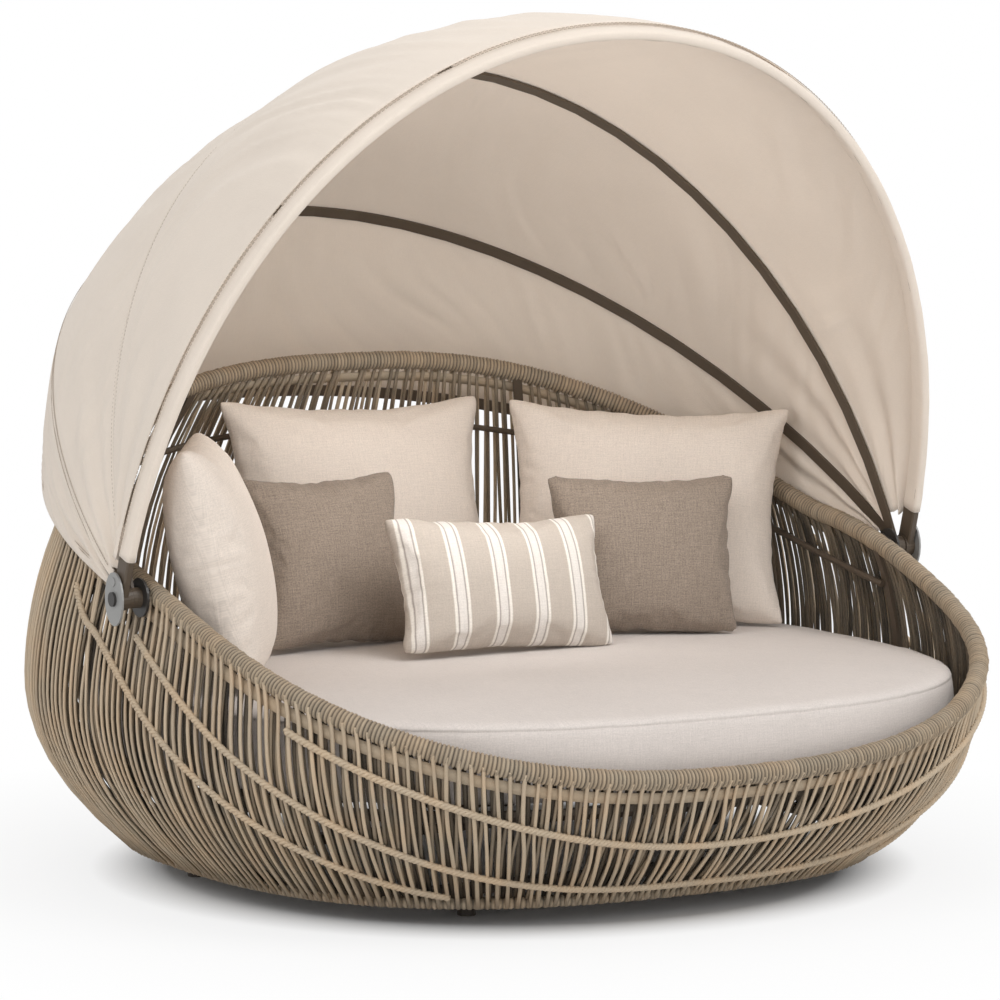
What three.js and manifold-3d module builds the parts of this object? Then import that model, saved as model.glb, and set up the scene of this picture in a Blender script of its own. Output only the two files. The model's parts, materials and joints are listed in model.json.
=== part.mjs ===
// An outdoor daybed: a woven nest on a metal frame, a mattress with pillows,
// and a fabric canopy on four bows that folds back about one axis at its sides.
// Millimetres, +Z up, the open side faces -Y, the floor is at z = 0.
import * as THREE from 'three';
import { mergeVertices } from 'three/addons/utils/BufferGeometryUtils.js';
import Module from 'manifold-3d';

const wasm = await Module();
wasm.setup();

// Gap between pieces that touch
const clearance = 0.3;
const degree = Math.PI / 180;
const upright = new THREE.Vector3(0, 0, 1);

// The nest's wall, measured from the middle between the two canopy pivots
const wallHalfWidth = 905;
const wallFrontReach = 979;
const wallBackReach = 767;
const wallMiddleY = 190;
const bulgeHeight = 390;
const bulgeRise = 930;
const bulgeDrop = 540;
const wallThickness = 8;
const planPower = 2.62;
const rollInShare = 0.036;
const rollSpanShares = [0.15, 0.4];
const rollPower = 3;

// The rim, the base ring and the tubes between them
const rimRadius = 19;
const strandGap = 0.8;
const rimFrontHeight = 300;
const rimBackHeight = 977;
const rimRisePower = 0.92;
const baseRingRadius = 12;
const legHeight = 38;
const ribDepth = 12;
const ribWidth = 20;
const ribGap = 1.6;
const ribAngles = [-50, -8, 27, 62, 118, 153, 188, 230];
const railRadius = 7;
const railEnds = [-12, 192];

// The seat's ring, slats and floor beams
const seatRingHeight = 240;
const seatRingRadius = 12;
const slatCount = 5;
const slatWidth = 70;
const slatThickness = 12;
const beamWidth = 30;
const beamHeight = 20;
const legRadius = 18;

// Where the legs stand: shares of the base ring's depth and of its half width there
const legPlaceShares = {
  front: [0.158, 0.62],
  middle: [0.622, 0.877],
  back: [0.935, 0.75],
};

// Twisted rope bands that bind the strands outside. Each hangs from its ends down to its
// middle: shares of the rim's height at the back and at the front.
const bandHalfWidth = 9;
const bandThickness = 8;
const bandGap = 1;
const bandStep = 3.5;
const bandMiddleAngle = -90;
const bands = [
  { name: 'upper', reach: 56, from: -56, to: 56, lowShare: 0.55, highShare: 0.41, power: 1.5 },
  { name: 'middle', reach: 83, from: -83, to: 83, lowShare: 0.26, highShare: 0.542, power: 2.2 },
  { name: 'side_left', reach: 94, from: -94, to: -34, lowShare: 0.17, highShare: 0.614, power: 3.1 },
  { name: 'side_right', reach: 94, from: 34, to: 94, lowShare: 0.17, highShare: 0.614, power: 3.1 },
];

// The canopy's pivots, and the layers stacked on each, from the inside out
const pivotDrop = 10;
const pivotRadius = 7.7;
const bracketRadius = 38;
const bracketThickness = 5;
const saddleWidth = 36;
const saddleHeight = 24;
const barThickness = 6;
const barWidth = 24;
const barHubThickness = 9;
const barHubRadius = 20;
const frontTubeThickness = 16;
const frontTubeWidth = 40;
const frontTubeEdge = 3;
const frontHubRadius = 23;
const frontHubThickness = 21;
const outerPlateHalfWidth = 38;
const outerPlateHalfHeight = 52;
const outerPlateThickness = 4;
const boltHeadRadius = 14;
const boltHeadThickness = 5;
const capRadius = 9;
const capRise = 33;
const capDepth = 2;

// The bows: height of the arch and its lean, from level forwards upwards
const bows = {
  rear: { name: 'rear_bow', height: 1230, lean: 167, power: 2.2 },
  upper: { name: 'upper_bow', height: 1108, lean: 116, power: 2.04 },
  middle: { name: 'middle_bow', height: 1309, lean: 148.7, power: 2.06 },
  front: { name: 'front_bow', height: 1131, lean: 71.8, power: 2.06 },
};

// The canopy's cloth
const clothThickness = 2.5;
const clothGap = 0.5;
const hemHeight = 72;
const sleeveHemHeight = 84;
const sagShare = 0.35;
const panelShares = [0.25, 0.5, 0.75];

// The mattress, and how far it stays inside the wall
const mattressSideGap = 75;
const mattressFrontGap = 54;
const mattressBackGap = 102;
const mattressDepth = 154;
const mattressCrown = 20;
const mattressEdge = 22;
const mattressPlanPower = 2.6;
const crownShares = [0.85, 0.65, 0.4, 0.2];

// How full the pillows are towards their edges, how much less their lower sides are drawn
// in, and how far they settle onto the mattress
const pillowPower = 0.42;
const lowerPinchShare = 0.3;
const pillowSettle = 10;

// The pillows, in shares of the mattress's half width: their place to the right of its
// middle and forward of its back, then their width, height and depth
const pillowShares = {
  back_cushion_left: [-0.054, 0.277, 0.759, 0.602, 0.205],
  back_cushion_right: [0.629, 0.542, 0.747, 0.584, 0.205],
  side_cushion: [-0.789, 0.928, 0.578, 0.584, 0.223],
  taupe_pillow_left: [-0.331, 0.615, 0.47, 0.44, 0.169],
  taupe_pillow_right: [0.467, 0.789, 0.5, 0.416, 0.169],
  striped_lumbar_pillow: [-0.022, 0.92, 0.602, 0.349, 0.157],
};

// How the pillows stand: turned about the upright, leaned back and rolled, in degrees
const pillowTurns = {
  back_cushion_left: { yaw: 0, lean: 16, roll: 1.5, pinchShare: 0.12, color: 'cream' },
  back_cushion_right: { yaw: -31, lean: 15, roll: 2, pinchShare: 0.12, color: 'cream' },
  side_cushion: { yaw: 60, lean: 14, roll: 0, pinchShare: 0.07, color: 'cream' },
  taupe_pillow_left: { yaw: 8, lean: 16, roll: 1, pinchShare: 0.08, color: 'taupe' },
  taupe_pillow_right: { yaw: -15, lean: 11, roll: 1, pinchShare: 0.09, color: 'taupe' },
  striped_lumbar_pillow: { yaw: 0, lean: 21, roll: 2, pinchShare: 0.08, color: 'stripe' },
};

// How finely round things are cut
const archSteps = 28;
const sectorStep = 9;
const lowerRowShares = [0, 0.4, 0.75];
const upperRowShares = [0, 0.2, 0.4, 0.6, 0.84, 1];
const tubeSides = 8;
const padSteps = 8;
const mattressSteps = 36;
const halvings = 24;
const discSides = 20;
const boltSides = 12;
const ringSides = 6;

const daybed = new THREE.Group();
const nest = new THREE.Group();
daybed.add(nest);

function finish(color, roughness, metalness) {
  return new THREE.MeshStandardMaterial({ color, roughness, metalness });
}

const finishes = {
  rope: () => finish(0x9f8a70, 0.75, 0),
  frame: () => finish(0x4a3f35, 0.5, 0.6),
  plate: () => finish(0x8d8c89, 0.45, 0.5),
  dark: () => finish(0x302b28, 0.5, 0.4),
  cream: () => finish(0xded4cb, 0.9, 0),
  taupe: () => finish(0x98897c, 0.9, 0),
  stripe: () => finish(0xc9beb1, 0.9, 0),
  canopy: () => finish(0xcdbfb0, 0.85, 0),
};

function addPiece(parent, name, geometry, material) {
  const mesh = new THREE.Mesh(geometry, material);
  mesh.name = name;
  parent.add(mesh);
  return mesh;
}

// A closed body from corners and faces, turned so that its faces point out
function closedBody(corners, faces) {
  let volume = 0;
  for (const [a, b, c] of faces) {
    volume += corners[a].dot(corners[b].clone().cross(corners[c]));
  }
  const index = faces.flatMap(([a, b, c]) => (volume > 0 ? [a, b, c] : [a, c, b]));
  const geometry = new THREE.BufferGeometry();
  geometry.setAttribute('position', new THREE.Float32BufferAttribute(
    corners.flatMap((corner) => corner.toArray()), 3));
  geometry.setIndex(index);
  return geometry;
}

// A body through rings of points. Each ring runs up one side and back down the other.
function loft(rings, closed = false) {
  const size = rings[0].length;
  const corners = rings.flat();
  const faces = [];
  const spans = closed ? rings.length : rings.length - 1;
  for (let i = 0; i < spans; i += 1) {
    const here = i * size;
    const next = ((i + 1) % rings.length) * size;
    for (let j = 0; j < size; j += 1) {
      const k = (j + 1) % size;
      faces.push([here + j, here + k, next + k], [here + j, next + k, next + j]);
    }
  }
  if (!closed) {
    const last = (rings.length - 1) * size;
    for (let j = 0; j < size / 2 - 1; j += 1) {
      const k = size - 1 - j;
      faces.push([k, j + 1, j], [k, k - 1, j + 1]);
      faces.push([last + k, last + j, last + j + 1], [last + k, last + j + 1, last + k - 1]);
    }
  }
  return closedBody(corners, faces);
}

// A ring of points round a centre, with a flat on top
function roundRing(centre, across, up, radius, sides) {
  return Array.from({ length: sides }, (_, i) => {
    const turn = Math.PI / 2 + (i + 1 / 2) / sides * 2 * Math.PI;
    return centre.clone()
      .addScaledVector(across, Math.cos(turn) * radius)
      .addScaledVector(up, Math.sin(turn) * radius);
  });
}

// A round tube along a list of points, whose sections stay square to it
function tubeAlong(points, radius, closed = false, sides = tubeSides) {
  const rings = points.map((point, i) => {
    const before = points[closed ? (i + points.length - 1) % points.length : Math.max(i - 1, 0)];
    const after = points[closed ? (i + 1) % points.length : Math.min(i + 1, points.length - 1)];
    const along = after.clone().sub(before).normalize();
    const across = along.clone().cross(upright).normalize();
    return roundRing(point, across, across.clone().cross(along), radius, sides);
  });
  return loft(rings, closed);
}

function toManifold(geometry) {
  const bare = new THREE.BufferGeometry();
  bare.setAttribute('position', geometry.getAttribute('position').clone());
  if (geometry.index) bare.setIndex(geometry.index.clone());
  const merged = mergeVertices(bare, clearance / 1000);
  return new wasm.Manifold(new wasm.Mesh({
    numProp: 3,
    vertProperties: new Float32Array(merged.getAttribute('position').array),
    triVerts: new Uint32Array(merged.index.array),
  }));
}

function toGeometry(manifold) {
  const mesh = manifold.getMesh();
  const geometry = new THREE.BufferGeometry();
  geometry.setAttribute('position', new THREE.BufferAttribute(mesh.vertProperties, 3));
  geometry.setIndex(new THREE.BufferAttribute(mesh.triVerts, 1));
  return geometry;
}

function joined(...geometries) {
  return toGeometry(geometries.map(toManifold).reduce((whole, piece) => whole.add(piece)));
}

function cutBy(geometry, ...tools) {
  return toGeometry(tools.map(toManifold).reduce(
    (whole, tool) => whole.subtract(tool), toManifold(geometry)));
}

// The nest's shape

function signedPower(value, exponent) {
  return Math.sign(value) * Math.abs(value) ** exponent;
}

function rimShare(angle) {
  return (1 + Math.sin(angle)) / 2;
}

function rimHeight(angle) {
  return rimFrontHeight + (rimBackHeight - rimFrontHeight) * rimShare(angle) ** rimRisePower;
}

const baseHeight = legHeight + clearance + baseRingRadius;

function widthShare(z) {
  const away = z > bulgeHeight ? (z - bulgeHeight) / bulgeRise : (bulgeHeight - z) / bulgeDrop;
  return Math.sqrt(1 - away * away);
}

// A point in the middle of the strands, at an angle in plan and a height
function wallPoint(angle, z) {
  const up = Math.max((z - baseHeight) / (rimHeight(angle) - baseHeight), 0);
  const rollAt = THREE.MathUtils.smoothstep(rimShare(angle), ...rollSpanShares);
  const width = widthShare(z) * (1 - rollInShare * rollAt * up ** rollPower);
  const reach = Math.sin(angle) > 0 ? wallBackReach : wallFrontReach;
  return new THREE.Vector3(
    wallHalfWidth * width * signedPower(Math.cos(angle), 2 / planPower),
    wallMiddleY + reach * width * signedPower(Math.sin(angle), 2 / planPower),
    z);
}

function wallNormal(angle, z) {
  const turn = degree / 10;
  const rise = bulgeDrop / 1000;
  const around = wallPoint(angle + turn, z).sub(wallPoint(angle - turn, z));
  const upwards = wallPoint(angle, z + rise).sub(wallPoint(angle, z - rise));
  return around.cross(upwards).normalize();
}

// A point at a depth inside the wall's middle, or outside it where the depth is negative
function wallOffset(angle, z, depth) {
  return wallPoint(angle, z).addScaledVector(wallNormal(angle, z), -depth);
}

function rimPoint(angle) {
  return wallPoint(angle, rimHeight(angle));
}

function angles(from, to, steps) {
  return Array.from({ length: steps + 1 }, (_, i) => (from + (to - from) * i / steps) * degree);
}

// The wall's eight sectors run from rib to rib, in even steps
const sectors = ribAngles.map((from, i) => {
  const to = i + 1 < ribAngles.length ? ribAngles[i + 1] : ribAngles[0] + 360;
  return { from, to, columns: Math.ceil((to - from) / sectorStep) };
});
const fullTurn = sectors.flatMap(({ from, to, columns }) => angles(from, to, columns).slice(0, -1));

// The least distance from a point to a line of points
function gapToLine(point, points) {
  const nearest = new THREE.Vector3();
  return Math.min(...points.slice(1).map((next, i) => new THREE.Line3(points[i], next)
    .closestPointToPoint(point, true, nearest).distanceTo(point)));
}

function basePoint(angle) {
  return wallPoint(angle, baseHeight);
}

const nearbyTurns = angles(-8, 8, 8);

// The height on the wall, from a start towards a goal, that lies a distance off a tube's middle
function heightClearOf(angle, start, goal, tubePoint, distance) {
  const near = nearbyTurns.map((turn) => tubePoint(angle + turn));
  let low = start;
  let high = goal;
  for (let i = 0; i < halvings; i += 1) {
    const z = (low + high) / 2;
    if (gapToLine(wallPoint(angle, z), near) < distance) low = z;
    else high = z;
  }
  return high;
}

function wallSpan(angle) {
  const middle = (baseHeight + rimHeight(angle)) / 2;
  return {
    low: heightClearOf(angle, baseHeight, middle, basePoint, baseRingRadius + strandGap),
    high: heightClearOf(angle, rimHeight(angle), middle, rimPoint, rimRadius + strandGap),
  };
}

// The wall's rows at an angle: even steps up to the seat, then shares of the rest
function heights(angle) {
  const { low, high } = wallSpan(angle);
  return [
    ...lowerRowShares.map((share) => low + (seatRingHeight - low) * share),
    ...upperRowShares.map((share) => seatRingHeight + (high - seatRingHeight) * share),
  ];
}

// A strip that follows the wall from the base ring to the rim, as one ring of points
function wallStrip(angle, outerDepth, innerDepth) {
  const levels = heights(angle);
  const outer = levels.map((z) => wallOffset(angle, z, outerDepth));
  const inner = levels.map((z) => wallOffset(angle, z, innerDepth)).reverse();
  return [...outer, ...inner];
}

// What meets the rim or the base ring is cut to their round shape
const rimCutter = tubeAlong(fullTurn.map(rimPoint), rimRadius + clearance, true);
const baseCutter = tubeAlong(fullTurn.map(basePoint), baseRingRadius + clearance, true,
  ringSides);

addPiece(nest, 'rim_tube', tubeAlong(fullTurn.map(rimPoint), rimRadius, true), finishes.rope());
addPiece(nest, 'base_ring', tubeAlong(fullTurn.map(basePoint), baseRingRadius, true, ringSides),
  finishes.frame());

const sectorNames = ['side_front_right', 'side_right', 'back_right', 'back', 'back_left',
  'side_left', 'side_front_left', 'front'];
const sectorGap = clearance / wallHalfWidth / degree;
sectors.forEach(({ from, to, columns }, i) => {
  const turns = angles(from, to, columns);
  turns[0] += sectorGap * degree;
  turns[columns] -= sectorGap * degree;
  const rings = turns.map((angle) => wallStrip(angle, -wallThickness / 2, wallThickness / 2));
  addPiece(nest, `wall_weave_${sectorNames[i]}`, loft(rings), finishes.rope());
});

// Ribs stand inside the strands, from the base ring to the rim
const ribOuterDepth = wallThickness / 2 + ribGap;
const ribInnerDepth = ribOuterDepth + ribDepth;
const ribNames = ['front_right', 'hinge_right', 'side_right', 'back_right', 'back_left',
  'side_left', 'hinge_left', 'front_left'];
ribAngles.forEach((middle, i) => {
  const angle = middle * degree;
  const levels = [baseHeight, ...heights(angle).slice(1, -1), rimHeight(angle)];
  const rings = levels.map((z) => {
    const outward = wallNormal(angle, z);
    const around = new THREE.Vector3(-outward.y, outward.x, 0).normalize();
    const point = (depth, side) => wallPoint(angle, z)
      .addScaledVector(outward, -depth)
      .addScaledVector(around, side * ribWidth / 2);
    return [point(ribOuterDepth, -1), point(ribOuterDepth, 1),
      point(ribInnerDepth, 1), point(ribInnerDepth, -1)];
  });
  addPiece(nest, `rib_${ribNames[i]}`, cutBy(loft(rings), rimCutter, baseCutter),
    finishes.frame());
});

// A rail inside the ribs, under the rim, round the back
const railDepth = ribInnerDepth + clearance + railRadius;
const railPoints = fullTurn.filter((angle) => angle > railEnds[0] * degree
  && angle < railEnds[1] * degree)
  .map((angle) => wallOffset(angle, heights(angle).at(-2), railDepth));
addPiece(nest, 'back_rail', tubeAlong(railPoints, railRadius, false, ringSides),
  finishes.frame());

// The seat rests on a ring just inside the ribs' inner faces
function seatRingPoint(angle) {
  const start = wallPoint(angle, seatRingHeight);
  const inward = wallNormal(angle, seatRingHeight).setZ(0).normalize().negate();
  const face = heights(angle).slice(1, -1)
    .map((z) => wallOffset(angle, z, ribInnerDepth))
    .map((point) => ({ z: point.z, depth: point.clone().sub(start).dot(inward) }));
  const faceDepth = (z) => {
    const i = face.findIndex((point) => point.z > z);
    const share = (z - face[i - 1].z) / (face[i].z - face[i - 1].z);
    return face[i - 1].depth + (face[i].depth - face[i - 1].depth) * share;
  };
  const outline = roundRing(new THREE.Vector3(), new THREE.Vector3(1, 0, 0), upright,
    seatRingRadius, ringSides);
  const depth = Math.max(...outline.map(({ x, z }) => faceDepth(seatRingHeight + z) - x));
  return start.addScaledVector(inward, depth + clearance);
}
const seatRing = tubeAlong(fullTurn.map(seatRingPoint), seatRingRadius, true, ringSides);
addPiece(nest, 'seat_ring', seatRing, finishes.frame());

// The angle at which a ring lies at a distance behind the pivots, on the right
function angleAt(ringPoint, y) {
  let low = -90;
  let high = 90;
  for (let i = 0; i < halvings; i += 1) {
    const middle = (low + high) / 2;
    if (ringPoint(middle * degree).y < y) low = middle;
    else high = middle;
  }
  return low * degree;
}

function halfWidthAt(ringPoint, y) {
  return ringPoint(angleAt(ringPoint, y)).x;
}

// A flat bar from side to side, as long as the ring's middle lies apart there
function barAcross(y, z, width, height, ringPoint) {
  const reach = Math.min(halfWidthAt(ringPoint, y - width / 2), halfWidthAt(ringPoint, y + width / 2));
  return new THREE.BoxGeometry(2 * reach, width, height).translate(0, y, z);
}

const seatFront = seatRingPoint(-90 * degree).y;
const seatBack = seatRingPoint(90 * degree).y;
const seatRingTop = seatRingHeight + seatRingRadius * Math.cos(Math.PI / ringSides);
const slatHeight = seatRingTop + clearance + slatThickness / 2;
for (let i = 0; i < slatCount; i += 1) {
  const share = (i + 1 / 2) / slatCount;
  addPiece(nest, `seat_slat_${i + 1}`, barAcross(seatFront + (seatBack - seatFront) * share,
    slatHeight, slatWidth, slatThickness, seatRingPoint), finishes.frame());
}

// Beams inside the base ring carry the legs
const beamBottom = baseHeight - beamHeight / 2;
const baseFront = basePoint(-90 * degree).y;
const baseBack = basePoint(90 * degree).y;
for (const [name, [alongShare, acrossShare]] of Object.entries(legPlaceShares)) {
  const y = baseFront + (baseBack - baseFront) * alongShare;
  const spread = halfWidthAt(basePoint, y) * acrossShare;
  const beam = barAcross(y, baseHeight, beamWidth, beamHeight, basePoint);
  addPiece(nest, `base_beam_${name}`, cutBy(beam, baseCutter), finishes.frame());
  for (const side of [-1, 1]) {
    const height = beamBottom - clearance;
    const shape = new THREE.CylinderGeometry(legRadius, legRadius, height, boltSides);
    const leg = addPiece(nest, `leg_${name}_${side > 0 ? 'right' : 'left'}`, shape,
      finishes.dark());
    leg.rotation.x = Math.PI / 2;
    leg.position.set(side * spread, y, height / 2);
  }
}

// Twisted bands lie on the outside of the strands
const bandDepth = -(wallThickness / 2 + bandGap + bandThickness / 2);
for (const { name, reach, from, to, lowShare, highShare, power } of bands) {
  const low = rimFrontHeight * lowShare;
  const high = rimBackHeight * highShare;
  const steps = Math.ceil((to - from) / bandStep);
  const rings = Array.from({ length: steps + 1 }, (_, i) => {
    const away = from + (to - from) * i / steps;
    const angle = (bandMiddleAngle + away) * degree;
    const z = low + (high - low) * Math.abs(away / reach) ** power;
    const outward = wallNormal(angle, z);
    const upwards = wallPoint(angle, z + wallThickness).sub(wallPoint(angle, z)).normalize();
    const point = (out, up) => wallOffset(angle, z, bandDepth)
      .addScaledVector(outward, out * bandThickness / 2)
      .addScaledVector(upwards, up * bandHalfWidth);
    return [point(-1, -1), point(1, -1 / 2), point(1, 1 / 2), point(-1, 1)];
  });
  addPiece(nest, `binding_band_${name}`, loft(rings), finishes.rope());
}

// The canopy turns about the line between the two pivots, a little below the rim there
const rimAtPivot = rimPoint(angleAt(rimPoint, 0));
const pivotHeight = rimAtPivot.z - pivotDrop;
const canopy = new THREE.Group();
canopy.position.z = pivotHeight;
daybed.add(canopy);

// The layers start clear of the wall at the bracket's lower edge
const wallBesideBracket = (angle) => wallOffset(angle, pivotHeight - bracketRadius,
  -wallThickness / 2);
const stackStart = halfWidthAt(wallBesideBracket, bracketRadius) + clearance;
const bracketFace = stackStart + bracketThickness;
bows.rear.halfWidth = bracketFace + clearance + barHubThickness / 2;
bows.upper.halfWidth = bows.rear.halfWidth + barHubThickness + clearance;
bows.middle.halfWidth = bows.upper.halfWidth + barHubThickness + clearance;
bows.front.halfWidth = bows.middle.halfWidth + barHubThickness / 2 + clearance
  + frontHubThickness / 2;
const plateInnerFace = bows.front.halfWidth + frontHubThickness / 2 + clearance;
const plateOuterFace = plateInnerFace + outerPlateThickness;

// The angles along an arch, from one hem to the other
function archAngles(bow, startHeight) {
  const start = archAngleAt(bow, startHeight);
  return Array.from({ length: archSteps + 1 },
    (_, i) => start + (Math.PI - 2 * start) * i / archSteps);
}

function archAngleAt(bow, height) {
  return Math.asin((height / bow.height) ** (bow.power / 2));
}

// A point of an arch in its own upright plane, at a distance outside its middle line
function archPoint(bow, angle, outside) {
  const x = bow.halfWidth * signedPower(Math.cos(angle), 2 / bow.power);
  const h = bow.height * Math.abs(Math.sin(angle)) ** (2 / bow.power);
  const slope = new THREE.Vector2(
    signedPower(x / bow.halfWidth, bow.power - 1) / bow.halfWidth,
    (h / bow.height) ** (bow.power - 1) / bow.height).normalize();
  return new THREE.Vector2(x, h).addScaledVector(slope, outside);
}

// The eight corners of a bar with cut edges, half its depth and half its width given
function section(halfDepth, halfWidth, edge) {
  return [
    [-halfDepth + edge, -halfWidth], [halfDepth - edge, -halfWidth],
    [halfDepth, -halfWidth + edge], [halfDepth, halfWidth - edge],
    [halfDepth - edge, halfWidth], [-halfDepth + edge, halfWidth],
    [-halfDepth, halfWidth - edge], [-halfDepth, -halfWidth + edge],
  ];
}

function archRing(bow, angle, corners) {
  return corners.map(([outside, across]) => {
    const { x, y } = archPoint(bow, angle, outside);
    return new THREE.Vector3(x, across, y);
  });
}

// A disc square to the pivots' line, between two distances from the middle
function sideDisc(radius, from, to, sides = discSides) {
  const disc = new THREE.CylinderGeometry(radius, radius, to - from, sides);
  return disc.rotateZ(Math.PI / 2).translate((from + to) / 2, 0, 0);
}

function pivotHole() {
  const end = plateOuterFace + boltHeadThickness;
  return sideDisc(pivotRadius + clearance, -end, end);
}

function addBow(bow, corners, hubRadius, hubThickness) {
  const hubEnd = archAngleAt(bow, hubRadius);
  const bar = loft([0, hubEnd, ...archAngles(bow, hemHeight), Math.PI - hubEnd, Math.PI]
    .map((angle) => archRing(bow, angle, corners)));
  const hub = (side) => {
    const middle = side * bow.halfWidth;
    return sideDisc(hubRadius, middle - hubThickness / 2, middle + hubThickness / 2);
  };
  const mesh = addPiece(canopy, bow.name, cutBy(joined(bar, hub(-1), hub(1)), pivotHole()),
    finishes.frame());
  mesh.rotation.x = (90 - bow.lean) * degree;
}

const flatBar = [[-1, -1], [1, -1], [1, 1], [-1, 1]]
  .map(([outside, across]) => [outside * barThickness / 2, across * barWidth / 2]);
for (const bow of [bows.rear, bows.upper, bows.middle]) {
  addBow(bow, flatBar, barHubRadius, barHubThickness);
}
addBow(bows.front, section(frontTubeThickness / 2, frontTubeWidth / 2, frontTubeEdge),
  frontHubRadius, frontHubThickness);

// The cloth sleeve round the front bow, open at both hems
function sleeve(outerRings, innerRings) {
  const size = outerRings[0].length;
  const inner = outerRings.length * size;
  const faces = [];
  outerRings.forEach((_, i) => {
    for (let j = 0; j < size; j += 1) {
      const k = (j + 1) % size;
      const here = i * size;
      const next = here + size;
      if (i === 0) {
        faces.push([k, j, inner + j], [k, inner + j, inner + k]);
      }
      if (i === outerRings.length - 1) {
        faces.push([here + j, here + k, inner + here + k],
          [here + j, inner + here + k, inner + here + j]);
      } else {
        faces.push([here + j, here + k, next + k], [here + j, next + k, next + j],
          [inner + here + j, inner + next + k, inner + here + k],
          [inner + here + j, inner + next + j, inner + next + k]);
      }
    }
  });
  return closedBody([...outerRings.flat(), ...innerRings.flat()], faces);
}

const sleeveInside = [frontTubeThickness / 2 + clothGap, frontTubeWidth / 2 + clothGap];
const sleeveOutside = sleeveInside.map((size) => size + clothThickness);
const sleeveRings = (corners) => archAngles(bows.front, sleeveHemHeight)
  .map((angle) => archRing(bows.front, angle, corners));
const sleeveMesh = addPiece(canopy, 'canopy_front_sleeve', sleeve(
  sleeveRings(section(...sleeveOutside, frontTubeEdge + clothThickness / 2)),
  sleeveRings(section(...sleeveInside, frontTubeEdge))), finishes.canopy());
sleeveMesh.rotation.x = (90 - bows.front.lean) * degree;

// One panel of cloth from a bow to the one before it. It lies flat on both, and is
// drawn in a little between them.
function panel(back, fore) {
  // Where the cloth lies beside an arch: how far out, and turned how far about the pivots
  const beside = ({ bow, face }, i, across, outside) => {
    const { x, y } = archPoint(bow, archAngles(bow, hemHeight)[i], face + outside);
    return { x, radius: Math.hypot(y, across), lean: bow.lean * degree + Math.atan(across / y) };
  };
  const rows = (i, outside) => {
    const from = beside(back, i, -back.flat.at(-1), outside);
    const to = beside(fore, i, fore.flat.at(-1), outside);
    const mix = (key, share) => from[key] + (to[key] - from[key]) * share;
    const chord = 1 - Math.cos((from.lean - to.lean) / 2);
    const between = panelShares.map((share) => ({
      x: mix('x', share),
      radius: mix('radius', share) * (1 - sagShare * chord * 4 * share * (1 - share)),
      lean: mix('lean', share),
    }));
    return [
      ...back.flat.map((across) => beside(back, i, -across, outside)),
      ...between,
      ...fore.flat.toReversed().map((across) => beside(fore, i, across, outside)),
    ].map(({ x, radius, lean }) => new THREE.Vector3(
      x, -Math.cos(lean) * radius, Math.sin(lean) * radius));
  };
  return loft(Array.from({ length: archSteps + 1 },
    (_, i) => [...rows(i, clothThickness), ...rows(i, 0).reverse()]));
}

const barFace = barThickness / 2 + clothGap;
const barSide = barWidth / 2 + clothGap;
const onBar = (bow, start = clearance / 2) => ({ bow, face: barFace, flat: [start, barSide] });
const atSleeve = {
  bow: bows.front, face: sleeveInside[0], flat: [sleeveOutside[1] + clearance],
};
addPiece(canopy, 'canopy_rear_panel', panel(onBar(bows.rear, -barSide), onBar(bows.middle)),
  finishes.canopy());
addPiece(canopy, 'canopy_middle_panel', panel(onBar(bows.middle), onBar(bows.upper)),
  finishes.canopy());
addPiece(canopy, 'canopy_front_panel', panel(onBar(bows.upper), atSleeve), finishes.canopy());

// The fixed pieces at each pivot. The bracket's saddle lies along the rim.
function mirrored(geometry, side) {
  if (side > 0) return geometry;
  return toGeometry(toManifold(geometry).mirror([1, 0, 0]));
}

const besidePivot = [1, -1].map((end) => rimPoint(angleAt(rimPoint, end * saddleWidth / 2)));
const rimSlope = besidePivot[0].sub(besidePivot[1]);
const saddleInside = rimAtPivot.x + rimRadius / 2;
const saddleOutside = stackStart + bracketThickness / 2;
for (const side of [-1, 1]) {
  const word = side > 0 ? 'right' : 'left';
  const saddle = new THREE.BoxGeometry(saddleOutside - saddleInside, saddleWidth, saddleHeight)
    .rotateX(Math.atan2(rimSlope.z, rimSlope.y))
    .translate((saddleInside + saddleOutside) / 2, 0, rimAtPivot.z - pivotHeight);
  const disc = sideDisc(bracketRadius, stackStart, bracketFace);
  const bracket = cutBy(joined(disc, saddle), rimCutter.clone().translate(0, 0, -pivotHeight),
    sideDisc(pivotRadius + clearance, stackStart, plateOuterFace));
  addPiece(canopy, `pivot_bracket_${word}`, mirrored(bracket, side), finishes.dark());

  const plate = sideDisc(1, plateInnerFace, plateOuterFace)
    .scale(1, outerPlateHalfWidth, outerPlateHalfHeight);
  const cap = sideDisc(capRadius, plateInnerFace, plateOuterFace + capDepth, boltSides)
    .translate(0, 0, capRise);
  addPiece(canopy, `pivot_plate_${word}`,
    mirrored(cutBy(joined(plate, cap), pivotHole()), side), finishes.plate());

  const shank = sideDisc(pivotRadius, stackStart + clearance, plateOuterFace + 2 * clearance,
    boltSides);
  const head = sideDisc(boltHeadRadius, plateOuterFace + clearance,
    plateOuterFace + clearance + boltHeadThickness);
  addPiece(canopy, `pivot_bolt_${word}`, mirrored(joined(shank, head), side), finishes.dark());
}

// The mattress: a boxed round pad with a low crown
const mattressBottom = slatHeight + slatThickness / 2 + clearance;
const mattressHalfWidth = wallHalfWidth - mattressSideGap;
const mattressFront = wallMiddleY - wallFrontReach + mattressFrontGap;
const mattressBack = wallMiddleY + wallBackReach - mattressBackGap;
const mattressMiddle = (mattressFront + mattressBack) / 2;
const mattressReach = (mattressBack - mattressFront) / 2;
const mattressTop = mattressBottom + mattressDepth;

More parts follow.
